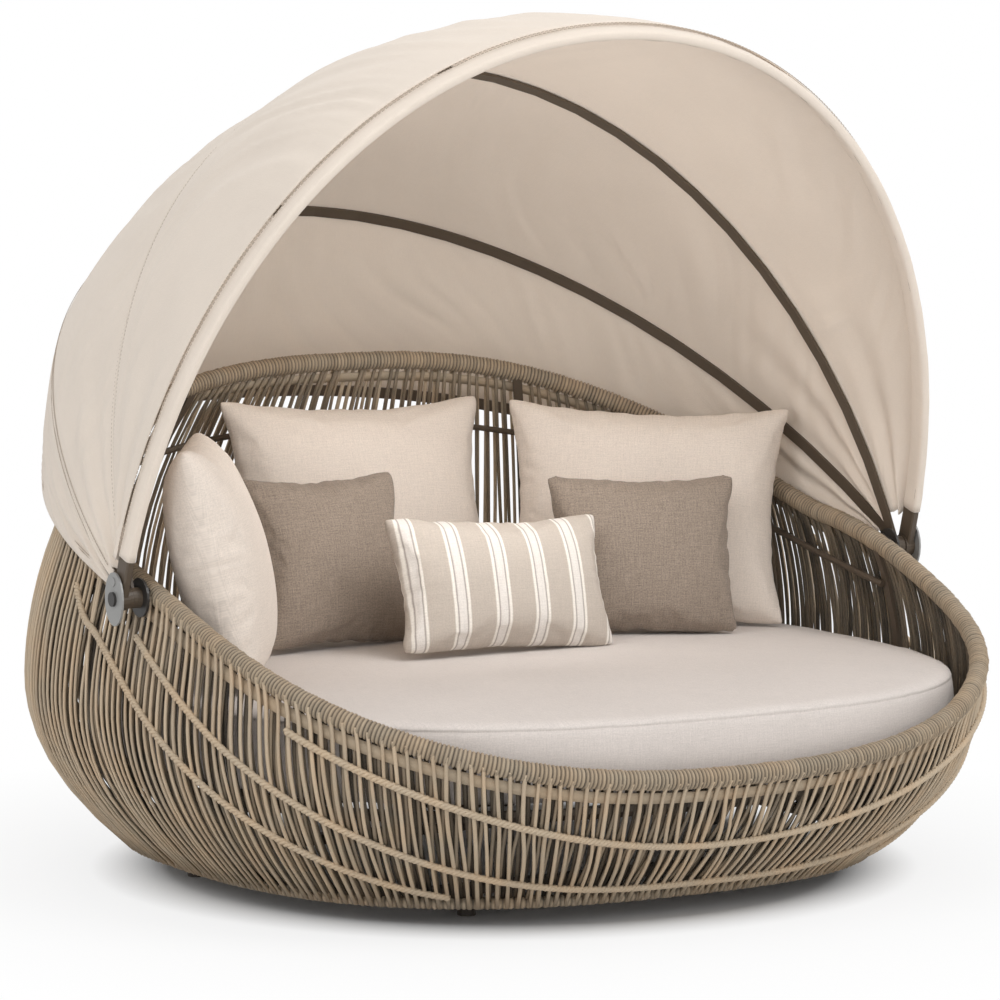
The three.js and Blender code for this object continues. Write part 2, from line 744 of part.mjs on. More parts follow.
function mattressPoint(angle, share, z) {
  return new THREE.Vector3(
    mattressHalfWidth * share * signedPower(Math.cos(angle), 2 / mattressPlanPower),
    mattressMiddle + mattressReach * share * signedPower(Math.sin(angle), 2 / mattressPlanPower),
    z);
}

function mattressGeometry() {
  const edgeShare = mattressEdge / mattressReach;
  const levels = [
    [1 - edgeShare, mattressBottom],
    [1 - edgeShare / 4, mattressBottom + mattressEdge / 2],
    [1, mattressBottom + mattressDepth / 2],
    [1 - edgeShare / 4, mattressTop - mattressEdge / 2],
    [1 - edgeShare, mattressTop],
    ...crownShares.map((share) => [share, mattressTop
      + mattressCrown * (1 - (share / (1 - edgeShare)) ** 2)]),
  ];
  const turn = angles(0, 360, mattressSteps).slice(0, -1);
  const corners = levels.flatMap(([share, z]) => turn.map((angle) => mattressPoint(angle, share, z)));
  corners.push(mattressPoint(0, 0, mattressBottom), mattressPoint(0, 0, mattressTop + mattressCrown));
  const faces = [];
  const size = turn.length;
  const last = (levels.length - 1) * size;
  turn.forEach((_, j) => {
    const k = (j + 1) % size;
    for (let here = 0; here < last; here += size) {
      faces.push([here + j, here + k, here + size + k],
        [here + j, here + size + k, here + size + j]);
    }
    faces.push([k, j, corners.length - 2], [last + j, last + k, corners.length - 1]);
  });
  return closedBody(corners, faces);
}

const mattress = addPiece(nest, 'mattress', mattressGeometry(), finishes.cream());

// A pillow: two crowned faces that meet along sides drawn in between the corners
function pillowGeometry(width, height, depth, pinchShare) {
  const share = (i) => Math.sin(Math.PI / 2 * (2 * i / padSteps - 1));
  const corners = [];
  const places = new Map();
  const place = (i, j, side) => {
    const onEdge = i === 0 || j === 0 || i === padSteps || j === padSteps;
    const key = `${i},${j},${onEdge ? 0 : side}`;
    if (!places.has(key)) {
      const u = share(i);
      const v = share(j);
      const pinch = pinchShare * (v < 0 ? lowerPinchShare : 1);
      const swell = onEdge ? 0 : ((1 - u * u) * (1 - v * v)) ** pillowPower;
      places.set(key, corners.push(new THREE.Vector3(
        u * width / 2 * (1 - pinchShare * (1 - v * v) * u * u),
        side * swell * depth / 2,
        v * height / 2 * (1 - pinch * (1 - u * u) * v * v))) - 1);
    }
    return places.get(key);
  };
  const faces = [];
  for (const side of [-1, 1]) {
    for (let i = 0; i < padSteps; i += 1) {
      for (let j = 0; j < padSteps; j += 1) {
        const [a, b, c, d] = [[i, j], [i + 1, j], [i + 1, j + 1], [i, j + 1]]
          .map(([m, n]) => place(m, n, side));
        const [first, second] = [[a, b, c], [a, c, d]];
        faces.push(side < 0 ? first : first.toReversed(), side < 0 ? second : second.toReversed());
      }
    }
  }
  return closedBody(corners, faces);
}

// The least upright distance from one mesh's corners to another mesh
function uprightGap(from, to, direction) {
  const ray = new THREE.Raycaster();
  const corner = new THREE.Vector3();
  const position = from.geometry.getAttribute('position');
  let gap = Infinity;
  for (let i = 0; i < position.count; i += 1) {
    ray.set(corner.fromBufferAttribute(position, i).applyMatrix4(from.matrixWorld), direction);
    gap = Math.min(gap, ray.intersectObject(to, false)[0]?.distance ?? Infinity);
  }
  return gap;
}

// A pillow stands on the mattress, turned about the upright and leaned back. Its lower
// side is pressed to the mattress's shape.
function addPillow(name) {
  const [across, forward, width, height, depth] = pillowShares[name]
    .map((share) => share * mattressHalfWidth);
  const { yaw, lean, roll, pinchShare, color } = pillowTurns[name];
  const shape = pillowGeometry(width, height, depth, pinchShare);
  const pillow = addPiece(nest, name, shape, finishes[color]());
  pillow.rotation.set(-lean * degree, roll * degree, yaw * degree, 'ZXY');
  pillow.position.set(across, mattressBack - forward, mattressTop + width + height);
  pillow.updateMatrixWorld();
  const drop = Math.min(uprightGap(pillow, mattress, upright.clone().negate()),
    uprightGap(mattress, pillow, upright));
  pillow.position.z -= drop + pillowSettle;
  pillow.updateMatrixWorld();
  const seat = mattress.geometry.clone().translate(0, 0, clearance)
    .applyMatrix4(pillow.matrixWorld.clone().invert());
  pillow.geometry = cutBy(pillow.geometry, seat);
}

Object.keys(pillowShares).forEach(addPillow);

// The origin lies on the floor under the middle of the whole
daybed.updateMatrixWorld(true);
const whole = new THREE.Box3().setFromObject(daybed, true);
daybed.position.y = -(whole.min.y + whole.max.y) / 2;

export default daybed;
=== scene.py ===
"""The looks of an outdoor daybed: wound rim, wicker strands, rope bands, padded mattress
and pillows, and a cloth canopy on folding bows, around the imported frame. Lengths in metres."""

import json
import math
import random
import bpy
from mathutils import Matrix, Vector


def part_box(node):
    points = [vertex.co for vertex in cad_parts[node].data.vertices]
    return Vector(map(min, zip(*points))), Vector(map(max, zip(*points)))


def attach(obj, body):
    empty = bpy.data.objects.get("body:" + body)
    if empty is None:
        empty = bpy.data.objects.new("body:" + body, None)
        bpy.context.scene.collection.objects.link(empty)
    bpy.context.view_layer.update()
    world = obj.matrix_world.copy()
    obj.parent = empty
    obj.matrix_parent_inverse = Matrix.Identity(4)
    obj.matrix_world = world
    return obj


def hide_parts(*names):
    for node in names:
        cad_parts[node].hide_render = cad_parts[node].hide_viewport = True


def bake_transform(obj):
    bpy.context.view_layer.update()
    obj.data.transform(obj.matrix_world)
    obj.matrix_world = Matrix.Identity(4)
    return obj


bl_info = {
    "name": "Canopy Daybed",
    "version": (1, 0, 0),
    "blender": (4, 5, 0),
    "location": "3D View > Sidebar > Daybed",
    "description": "Builds a woven outdoor daybed with pillows and a folding canopy",
    "category": "Add Mesh",
}

import bmesh
import bpy
import numpy as np
from bpy.props import FloatProperty, FloatVectorProperty, IntProperty, PointerProperty
from mathutils import Matrix, Vector, noise

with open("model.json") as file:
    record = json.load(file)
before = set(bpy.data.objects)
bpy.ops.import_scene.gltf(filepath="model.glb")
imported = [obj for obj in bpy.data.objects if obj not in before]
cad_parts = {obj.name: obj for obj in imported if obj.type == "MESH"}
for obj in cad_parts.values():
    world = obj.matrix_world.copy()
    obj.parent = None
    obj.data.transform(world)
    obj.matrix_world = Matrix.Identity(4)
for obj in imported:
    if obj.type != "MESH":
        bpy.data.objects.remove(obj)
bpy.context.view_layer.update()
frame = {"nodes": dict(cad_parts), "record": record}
slots = {s["node"]: s["material_slot"] for s in frame["record"]["subparts"]}

# The place of the pivots, which the nest's shape is measured from, and of the mattress
pivot_low, pivot_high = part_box("pivot_bolt_right")
nest_y = (pivot_low.y + pivot_high.y) / 2
pivot_z = (pivot_low.z + pivot_high.z) / 2
mattress_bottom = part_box("mattress")[0].z

# The nest's wall, as the solids have it
wall_half_width = 0.905
wall_front_reach = 0.979
wall_back_reach = 0.767
wall_middle_y = 0.19
bulge_height = 0.39
bulge_rise = 0.93
bulge_drop = 0.54
plan_power = 2.62
roll_in = 0.036
roll_from, roll_to = 0.15, 0.4
roll_power = 3
rim_front = 0.3
rim_back = 0.977
rim_power = 0.92
rim_radius = 0.019
base_height = 0.0503
base_radius = 0.012

# The cord wound on the rings: how far out it stands, sides, depth of its grooves, tone
rim_winding = (0.0008, 14, 0.0034, 0.3)
base_winding = (0.001, 10, 0.0026, 0.45)
base_pitch = 0.011

# The wall's layers of cords: cords for one of the outer layer, start and lean in steps from
# cord to cord, place outwards, width for the cord's width, half thickness, seed, tone, where
# the ends lie on the rings, and the highest rim that the layer reaches
# The inner layer's and the third layer's low tones are painted shade: the inner cords are darkened
# as if shadowed by the outer ones, and the third layer is a dark layer of cords that stands for
# the shadow in the wall's gaps
cord_layers = {
    "outer": (1, 0.0, 0.4, 0.0042, 1, 0.0033, 2, 0.7, 1, math.inf),
    "inner": (1, 0.5, -0.7, -0.0022, 1, 0.003, 3, -0.2, -0.2, math.inf),
    "painted_shade_layer": (1.4, 0.1, 0.9, -0.0085, 1.25, 0.0029, 5, -0.65, -0.6, 0.74),
}
strap_below_rim = 0.036
strap_half_width = 0.0135
strap_half_thickness = 0.0012
strap_tone = 0.45

# The rope bands round the outside: name, where they turn up, from, to, low, high, power
bands = [
    ("upper", 56, -56, 56, 0.55, 0.41, 1.5),
    ("middle", 83, -83, 83, 0.26, 0.542, 2.2),
    ("side_left", 94, -94, -34, 0.17, 0.614, 3.1),
    ("side_right", 94, 34, 94, 0.17, 0.614, 3.1),
]
ply_pitch = 0.028
ply_half_width = 0.0043
ply_rise = 0.0042
ply_depth = 0.003
band_outwards = 0.0092
band_step = 0.0055
band_tone = 0.85

# The bows: height, lean in degrees, power
bows = {
    "rear": (1.23, 167, 2.2),
    "middle": (1.309, 148.7, 2.06),
    "upper": (1.108, 116, 2.04),
    "front": (1.131, 71.8, 2.06),
}
bar_half_thickness = 0.003
bar_half_width = 0.012
tube_half_thickness = 0.008
tube_half_width = 0.02
hem_height = 0.072
sleeve_hem_height = 0.084
sag_share = 0.35
cloth_gap = 0.0005
cloth_thickness = 0.0016
canopy_steps = (280, 60)
cloth_length, cloth_width = 2.7, 0.9
blend_radius = 0.75
stitch_spacing = 0.009
stitch_length = 0.006
stitch_half_width = 0.0011
stitch_half_thickness = 0.0007

# The mattress
mattress_half_width = 0.83
mattress_front = wall_middle_y - wall_front_reach + 0.054
mattress_back = wall_middle_y + wall_back_reach - 0.102
mattress_depth = 0.154
mattress_crown = 0.02
mattress_edge = 0.022
mattress_power = 2.6
mattress_reach = (mattress_back - mattress_front) / 2
mattress_middle = nest_y + (mattress_front + mattress_back) / 2
mattress_top_edge = mattress_bottom + mattress_depth

# The pillows: place across and forward of the mattress's back, width, height and depth in
# shares of its half width; yaw, lean and roll in degrees; how far the sides are drawn in
pillows = {
    "back_cushion_left": ((-0.054, 0.277, 0.759, 0.602, 0.205), (0, 16, 1.5), 0.12),
    "back_cushion_right": ((0.629, 0.542, 0.747, 0.584, 0.205), (-31, 15, 2), 0.12),
    "side_cushion": ((-0.789, 0.928, 0.578, 0.584, 0.223), (60, 14, 0), 0.07),
    "taupe_pillow_left": ((-0.331, 0.615, 0.47, 0.44, 0.169), (8, 16, 1), 0.08),
    "taupe_pillow_right": ((0.467, 0.789, 0.5, 0.416, 0.169), (-15, 11, 1), 0.09),
    "striped_lumbar_pillow": ((-0.022, 0.92, 0.602, 0.349, 0.157), (0, 21, 2), 0.08),
}
pillow_ears = 0.007
pillow_voxel = 0.008
pillow_swell = 0.013
pillow_clearance = 0.0006
pillow_cloth = {
    "quality": 6, "mass": 0.3, "tension_stiffness": 12, "compression_stiffness": 12,
    "shear_stiffness": 4, "bending_stiffness": 0.35, "use_pressure": True, "shrink_min": -0.02,
}

# The stage: each lamp's place, size, power and what it points at, the sky and the camera
middle_height = (0, 0, 0.7)
lamps = {
    "key": ((1.9, -3.6, 5.2), 2.8, 128, middle_height),
    "front": ((-2.0, -5.6, 2.1), 3.2, 50, middle_height),
    "inner": ((-0.1, -0.42, 1.12), 0.5, 3.2, (0.1, 0.6, 1.12)),
    "left": ((-5.2, -1.5, 3.8), 3.6, 62, middle_height),
    "back": ((1.0, 5.0, 4.5), 4.0, 50, middle_height),
}
sky_strength = 0.68
camera_place = (-4.853, -8.411, 1.732)
camera_right = (0.864, -0.5035, 0)
camera_forward = (0.5009, 0.8594, -0.1027)
camera_lens, camera_sensor = 172.5, 36


def length_property(name, description, default):
    return FloatProperty(name=name, description=description, default=default, unit="LENGTH")


def colour_property(name, description, default):
    return FloatVectorProperty(name=name, description=description, default=default,
                               subtype="COLOR", min=0, max=1)


class WickerSettings(bpy.types.PropertyGroup):
    """The nest's cords"""

    cord_width: length_property("Cord Width", "Width of one wall cord", 0.0082)
    cord_pitch: length_property("Cord Spacing", "Distance from one wall cord to the next", 0.0236)
    wrap_pitch: length_property("Wrap Spacing", "Distance between turns on the rim", 0.008)
    seed: IntProperty(name="Seed", description="Changes how the cords vary", default=4)
    colour: colour_property("Colour", "Colour of the cords", (0.49, 0.395, 0.285))


class PadSettings(bpy.types.PropertyGroup):
    """The mattress and pillows"""

    fineness: IntProperty(
        name="Fineness", description="Steps along each side of a pillow", default=56, min=16)
    pressure: FloatProperty(
        name="Pressure", description="How hard the filling swells", default=3.0, min=0)
    cream: colour_property("Cream", "Colour of the large pillows", (0.77, 0.68, 0.6))
    mattress: colour_property("Mattress", "Colour of the mattress", (0.66, 0.6, 0.56))
    taupe: colour_property("Taupe", "Colour of the plain small pillows", (0.285, 0.228, 0.182))
    stripe: colour_property("Stripe Ground", "Colour between the stripes", (0.5, 0.435, 0.375))


class CanopySettings(bpy.types.PropertyGroup):
    """The canopy's cloth and bows"""

    wrinkle: length_property("Wrinkles", "Depth of the cloth's wrinkles", 0.011)
    cloth: colour_property("Cloth", "Colour of the canopy", (0.77, 0.68, 0.59))
    metal: colour_property("Metal", "Colour of the bows and frame", (0.085, 0.062, 0.042))


class DaybedSettings(bpy.types.PropertyGroup):
    """All sizes and colours of the daybed"""

    wicker: PointerProperty(type=WickerSettings)
    pads: PointerProperty(type=PadSettings)
    canopy: PointerProperty(type=CanopySettings)


# Shapes of the nest


def signed_power(value, power):
    return math.copysign(abs(value) ** power, value)


def rim_share(angle):
    return (1 + math.sin(angle)) / 2


def rim_height(angle):
    return rim_front + (rim_back - rim_front) * rim_share(angle) ** rim_power


def smooth(value, low, high):
    t = min(max((value - low) / (high - low), 0), 1)
    return t * t * (3 - 2 * t)


def wall_point(angle, z):
    """A point in the middle of the wall, at an angle in plan and a height"""
    away = (z - bulge_height) / bulge_rise if z > bulge_height else (bulge_height - z) / bulge_drop
    up = max((z - base_height) / (rim_height(angle) - base_height), 0)
    rolled = smooth(rim_share(angle), roll_from, roll_to)
    width = math.sqrt(1 - away * away) * (1 - roll_in * rolled * up ** roll_power)
    reach = wall_back_reach if math.sin(angle) > 0 else wall_front_reach
    return Vector((
        wall_half_width * width * signed_power(math.cos(angle), 2 / plan_power),
        nest_y + wall_middle_y + reach * width * signed_power(math.sin(angle), 2 / plan_power),
        z))


def wall_normal(angle, z):
    turn, rise = 0.002, 0.0005
    around = wall_point(angle + turn, z) - wall_point(angle - turn, z)
    upwards = wall_point(angle, z + rise) - wall_point(angle, z - rise)
    return around.cross(upwards).normalized()


def rim_point(angle):
    return wall_point(angle, rim_height(angle))


def base_point(angle):
    return wall_point(angle, base_height)


def run_along(points):
    """The distance along a line from its first point to each of its points"""
    return np.concatenate([[0], np.cumsum(np.linalg.norm(np.diff(points, axis=0), axis=1))])


def even_angles(curve, count):
    """Angles that lie evenly spaced along a closed curve, from the front round"""
    fine = np.linspace(-math.pi / 2, 1.5 * math.pi, 1441)
    run = run_along([curve(a) for a in fine])
    return np.interp(np.arange(count) / count * run[-1], run, fine), run[-1]


def loop_length(curve):
    return even_angles(curve, 1)[1]


# Mesh helpers


def made_mesh(bm, name):
    mesh = bpy.data.meshes.new(name)
    bm.to_mesh(mesh)
    bm.free()
    return mesh


def cut_cone(spans, sides, capped):
    """A straight tube of radius 1, cut once per unit of its length"""
    bm = bmesh.new()
    bmesh.ops.create_cone(bm, cap_ends=capped, segments=sides, radius1=1, radius2=1, depth=spans)
    long_edges = [e for e in bm.edges if abs(e.verts[0].co.z - e.verts[1].co.z) > spans / 2]
    bmesh.ops.subdivide_edges(bm, edges=long_edges, cuts=spans - 1)
    return bm


def plain_tube(spans, sides, closed):
    """A tube that stands on the origin, a unit long per span, that the pieces are bent from"""
    bm = cut_cone(spans, sides, not closed)
    bmesh.ops.translate(bm, verts=bm.verts, vec=(0, 0, spans / 2))
    return made_mesh(bm, "tube")


def coordinates(mesh):
    flat = np.empty(len(mesh.vertices) * 3, np.float32)
    mesh.vertices.foreach_get("co", flat)
    return flat.reshape(-1, 3).astype(float)


def move_points(mesh, points):
    mesh.vertices.foreach_set("co", points.reshape(-1).astype(np.float32))
    mesh.update()


def tidy(mesh, merge=0.0):
    """Merges doubles, turns the faces outwards and shades them smooth"""
    bm = bmesh.new()
    bm.from_mesh(mesh)
    if merge:
        bmesh.ops.remove_doubles(bm, verts=bm.verts, dist=merge)
    bmesh.ops.recalc_face_normals(bm, faces=bm.faces)
    for face in bm.faces:
        face.smooth = True
    bm.to_mesh(mesh)
    bm.free()
    return mesh


def linked(name, data):
    """A new object in the scene"""
    made = bpy.data.objects.new(name, data)
    bpy.context.scene.collection.objects.link(made)
    return made


def add_piece(name, mesh, material, body, replaced=()):
    """A finished piece that rides on a body of the frame"""
    mesh.name = name
    mesh.materials.clear()
    mesh.materials.append(material)
    piece = linked(name, mesh)
    if body:
        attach(piece, body)
    if replaced:
        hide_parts(*replaced)
    return piece


def laid_tubes(paths, outs, sides, wide, thick, tones=None, closed=False):
    """Tubes along paths, wide across them and thick in the outward directions. The last point
    of a closed path repeats its first."""
    paths, outs = np.asarray(paths, float), np.asarray(outs, float)
    count, steps = paths.shape[:2]
    if closed:
        along = np.roll(paths[:, :-1], -1, axis=1) - np.roll(paths[:, :-1], 1, axis=1)
        along = np.concatenate([along, along[:, :1]], axis=1)
    else:
        along = np.gradient(paths, axis=1)
    across = np.cross(along, outs)
    across /= np.linalg.norm(across, axis=-1, keepdims=True)
    square = np.cross(across, along)
    square /= np.linalg.norm(square, axis=-1, keepdims=True)

    template = plain_tube(steps - 1, sides, closed)
    plain = coordinates(template)
    step = np.clip(np.rint(plain[:, 2]).astype(int), 0, steps - 1)
    bm = bmesh.new()
    for _ in range(count):
        bm.from_mesh(template)
    mesh = made_mesh(bm, "tubes")
    wide, thick = (np.broadcast_to(np.asarray(a, float), (count, steps)) for a in (wide, thick))
    placed = (
        paths[:, step]
        + across[:, step] * (plain[:, 0] * wide[:, step])[..., None]
        + square[:, step] * (plain[:, 1] * thick[:, step])[..., None]
    )
    move_points(mesh, placed)
    if tones is not None:
        tones = np.broadcast_to(np.reshape(tones, (count, -1)), (count, steps))
        attribute = mesh.attributes.new("tone", "FLOAT", "POINT")
        attribute.data.foreach_set("value", tones[:, step].reshape(-1).astype(np.float32))
    return tidy(mesh, merge=1e-6 if closed else 0)


# Materials


class Value:
    """A socket in a material that can be used in sums"""

    def __init__(self, net, socket):
        self.net = net
        self.socket = socket

    def sum_with(self, operation, *others):
        return self.net.node("Math", dict(enumerate(others)), operation=operation)

    def __add__(self, other):
        return self.sum_with("ADD", self, other)

    __radd__ = __add__

    def __mul__(self, other):
        return self.sum_with("MULTIPLY", self, other)

    __rmul__ = __mul__

    def __sub__(self, other):
        return self.sum_with("SUBTRACT", self, other)

    def __rsub__(self, other):
        return self.sum_with("SUBTRACT", other, self)

    def between(self, low, high):
        """0 at low, 1 at high and evenly between"""
        return self.net.node("MapRange", {"Value": self, "From Min": low, "From Max": high})


class Net:
    """The nodes of a material or a world, added one call at a time"""

    def __init__(self, owner):
        owner.use_nodes = True
        self.nodes = owner.node_tree.nodes
        self.links = owner.node_tree.links

    def feed(self, socket, value):
        if isinstance(value, Value):
            self.links.new(value.socket, socket)
        else:
            socket.default_value = value

    def node(self, kind, sockets=None, output=0, **settings):
        made = self.nodes.new(f"ShaderNode{kind}")
        for key, value in settings.items():
            setattr(made, key, value)
        for key, value in (sockets or {}).items():
            self.feed(made.inputs[key], value)
        return Value(self, made.outputs[output])


class Finish(Net):
    """A material with the principled shader"""

    def __init__(self, name):
        self.material = bpy.data.materials.new(name)
        super().__init__(self.material)
        self.shader = self.nodes["Principled BSDF"]

    def place(self, kind="Object", scale=(1, 1, 1)):
        """Object or UV coordinates, scaled"""
        start = self.node("TexCoord", output=kind)
        return self.node("Mapping", {0: start, "Scale": scale})

    def noise(self, vector, scale, detail=2.0, rough=0.5):
        return self.node("TexNoise", {
            "Vector": vector, "Scale": scale, "Detail": detail, "Roughness": rough})

    def mix(self, factor, first, second):
        return self.node("Mix", {0: factor, 6: first, 7: second}, 2, data_type="RGBA")

    def tinted(self, colour, shade):
        """A colour made lighter or darker by a value round 1"""
        colour = colour if isinstance(colour, Value) else tuple(colour)[:3]
        return self.node("VectorMath", {0: colour, "Scale": shade}, operation="SCALE")

    def bump(self, height, depth):
        return self.node("Bump", {"Height": height, "Distance": depth, "Strength": 1.0})

    def surface(self, colour, rough, normal=None, **constants):
        self.feed(self.shader.inputs["Base Color"],
                  colour if isinstance(colour, Value) else (*tuple(colour)[:3], 1))
        self.feed(self.shader.inputs["Roughness"], rough)
        if normal is not None:
            self.feed(self.shader.inputs["Normal"], normal)
        for key, value in constants.items():
            self.shader.inputs[key.replace("_", " ")].default_value = value
        return self.material


def cord_finish(name, colour):
    """Synthetic wicker cord: its tone differs from cord to cord, with fine streaks, and the tone
    attribute also carries painted shade, on the deeper wall cords and in the rings' grooves
    """
    finish = Finish(name)
    tone = finish.node("Attribute", output=2, attribute_name="tone")
    cloudy = finish.noise(finish.place(), 14.0, 3.0)
    streaks = finish.noise(finish.place(scale=(1, 1, 0.25)), 900.0, 2.0, 0.6)
    # tone holds each cord's own tone together with painted shade on the deeper layers and in the
    # grooves
    shade = 0.62 + 0.62 * tone + 0.25 * (cloudy - 0.5) + 0.35 * (streaks - 0.5)
    warm = tuple(c * k for c, k in zip(colour, (1.02, 0.96, 0.9)))
    base = finish.mix(cloudy.between(0.4, 0.65), (*colour, 1), (*warm, 1))
    normal = finish.bump(streaks, 0.0006)
    return finish.surface(
        finish.tinted(base, shade), 0.62 + 0.2 * (streaks - 0.5), normal,
        Specular_IOR_Level=0.35)


def coated_metal(name, colour, rough=0.48, grain=0.00012, metallic=0.0):
    """Powder coat or satin metal, with a faint grain and a little wear in tone"""
    finish = Finish(name)
    grains = finish.noise(finish.place(), 900.0, 2.0)
    cloudy = finish.noise(finish.place(), 9.0, 4.0, 0.6)
    shade = 1 + 0.22 * (cloudy - 0.5) + 0.12 * (grains - 0.5)
    normal = finish.bump(grains, grain)
    return finish.surface(
        finish.tinted(colour, shade), rough + 0.18 * (cloudy - 0.5), normal,
        Metallic=metallic)


def linen(name, colour, slub, yarns=320.0, bump=0.0005, striped=False):
    """Woven cloth with slubs along both threads"""
    finish = Finish(name)
    along, across = (finish.noise(finish.place("UV", scale=scale), 26.0, 3.0, 0.65)
                     for scale in ((1, 16, 1), (16, 1, 1)))
    cloudy = finish.noise(finish.place(), 5.0, 3.0)
    grain = finish.noise(finish.place("UV"), yarns, 2.0, 0.7)
    warp, weft = (finish.node("TexWave", {
        "Vector": finish.place("UV"), "Scale": 196.0, "Distortion": 1.5, "Detail": 1.0,
        "Detail Scale": 2.0}, 1, wave_type="BANDS", bands_direction=way, wave_profile="SIN")
        for way in "XY")
    threads = 0.5 * (warp + weft)
    slubs = 0.5 * (along + across)
    shade = (1 + 5 * slub * (slubs - 0.5) + 0.12 * (threads - 0.5) + 0.1 * (cloudy - 0.5)
             + 4 * slub * (grain - 0.5))
    ground = stripes(finish, colour) if striped else (*tuple(colour)[:3], 1)
    normal = finish.bump(0.6 * threads + 0.8 * slubs, bump)
    return finish.surface(
        finish.tinted(ground, shade), 0.86 + 0.1 * (slubs - 0.5), normal,
        Sheen_Weight=0.12, Sheen_Roughness=0.5, Specular_IOR_Level=0.25)


def stripes(finish, colour):
    """Groups of a pale band between two cream lines, with a thin grey line beside each"""
    spacing, shift, edge = 0.0905, 0.034, 0.0012
    pale_to, grey_to, cream_to = 0.0085, 0.0115, 0.0175
    along = finish.node("SeparateXYZ", {0: finish.node("TexCoord", output="UV")}) + shift
    place = along.sum_with("PINGPONG", along, spacing / 2)

    def past(line):
        return place.between(line - edge, line + edge)

    grey = past(pale_to) * (1 - past(grey_to))
    cream = past(grey_to) * (1 - past(cream_to))
    mixed = finish.mix(1 - past(pale_to), (*tuple(colour)[:3], 1), (0.74, 0.69, 0.64, 1))
    mixed = finish.mix(grey * 0.8, mixed, (0.36, 0.315, 0.29, 1))
    return finish.mix(cream, mixed, (0.82, 0.77, 0.7, 1))


def finish_of(name):
    """A shared material by its name, made when it is first asked for"""
    daybed = bpy.context.scene.daybed
    wicker, pads, canopy = daybed.wicker, daybed.pads, daybed.canopy
    makers = {
        "wicker cord": (cord_finish, wicker.colour),
        "cream linen": (linen, pads.cream, 0.1),
        "mattress linen": (linen, pads.mattress, 0.1),
        "taupe linen": (linen, pads.taupe, 0.3),
        "striped linen": (linen, pads.stripe, 0.1, 320.0, 0.0005, True),
        "canopy cloth": (linen, canopy.cloth, 0.03, 900.0, 0.0002),
        "bow coat": (coated_metal, canopy.metal),
        "frame coat": (coated_metal, [c * 1.1 for c in canopy.metal], 0.6),
        "leg coat": (coated_metal, [c * 0.55 for c in canopy.metal], 0.45),
        "grey plate": (coated_metal, (0.3, 0.298, 0.29), 0.42, 0.0001, 0.2),
        "dark coat": (coated_metal, (0.03, 0.027, 0.025), 0.42),
        "seam thread": (coated_metal, (0.46, 0.385, 0.31), 0.8),
    }
    maker, *rest = makers[name]
    return bpy.data.materials.get(name) or maker(name, *rest)


# The nest's pieces


def wound_ring(curve, tube_radius, pitch, seed, winding):
    """A ring tube closely wound with cord, as a closed loop, with painted shade darkening the
    grooves between the turns
    """
    proud, sides, groove, tone = winding
    uneven_groove, uneven_tone, painted_groove_shade = 0.45, 0.14, 1.0
    chance = random.Random(seed)
    turns = int(loop_length(curve) / pitch)
    cuts = 4
    spans = turns * cuts
    angles, _ = even_angles(curve, spans)
    points = np.array([curve(a) for a in angles])
    points = np.vstack([points, points[:1]])
    ups = np.tile([0.0, 0.0, 1.0], (spans + 1, 1))
    phases = np.abs(np.sin(np.pi * np.arange(spans + 1) / cuts))
    sizes = [chance.uniform(-0.5, 0.5) for _ in range(turns)]
    tones = [tone + chance.uniform(-uneven_tone, uneven_tone) for _ in range(turns)]
    index = (np.arange(spans + 1) // cuts) % turns
    radii = (tube_radius + proud - groove * (1 - phases)
             + groove * uneven_groove * np.array(sizes)[index] * phases)
    # Painted shade: the grooves between the turns are darkened below each turn's own tone
    shades = np.array(tones)[index] - painted_groove_shade * (1 - phases)
    return laid_tubes([points], [ups], sides, radii, radii, shades, closed=True)


class DAYBED_OT_rim(bpy.types.Operator):
    """Adds the rim and the base ring, closely wound with cord"""

    bl_idname = "daybed.rim"
    bl_label = "Wound Rim"

    def execute(self, context):
        wicker, cord = context.scene.daybed.wicker, finish_of("wicker cord")
        rim = wound_ring(rim_point, rim_radius, wicker.wrap_pitch, wicker.seed, rim_winding)
        add_piece("wound_rim", rim, cord, "nest", ["rim_tube"])
        base = wound_ring(base_point, base_radius, base_pitch, wicker.seed + 1, base_winding)
        add_piece("wound_base", base, cord, "nest", ["base_ring"])
        return {"FINISHED"}


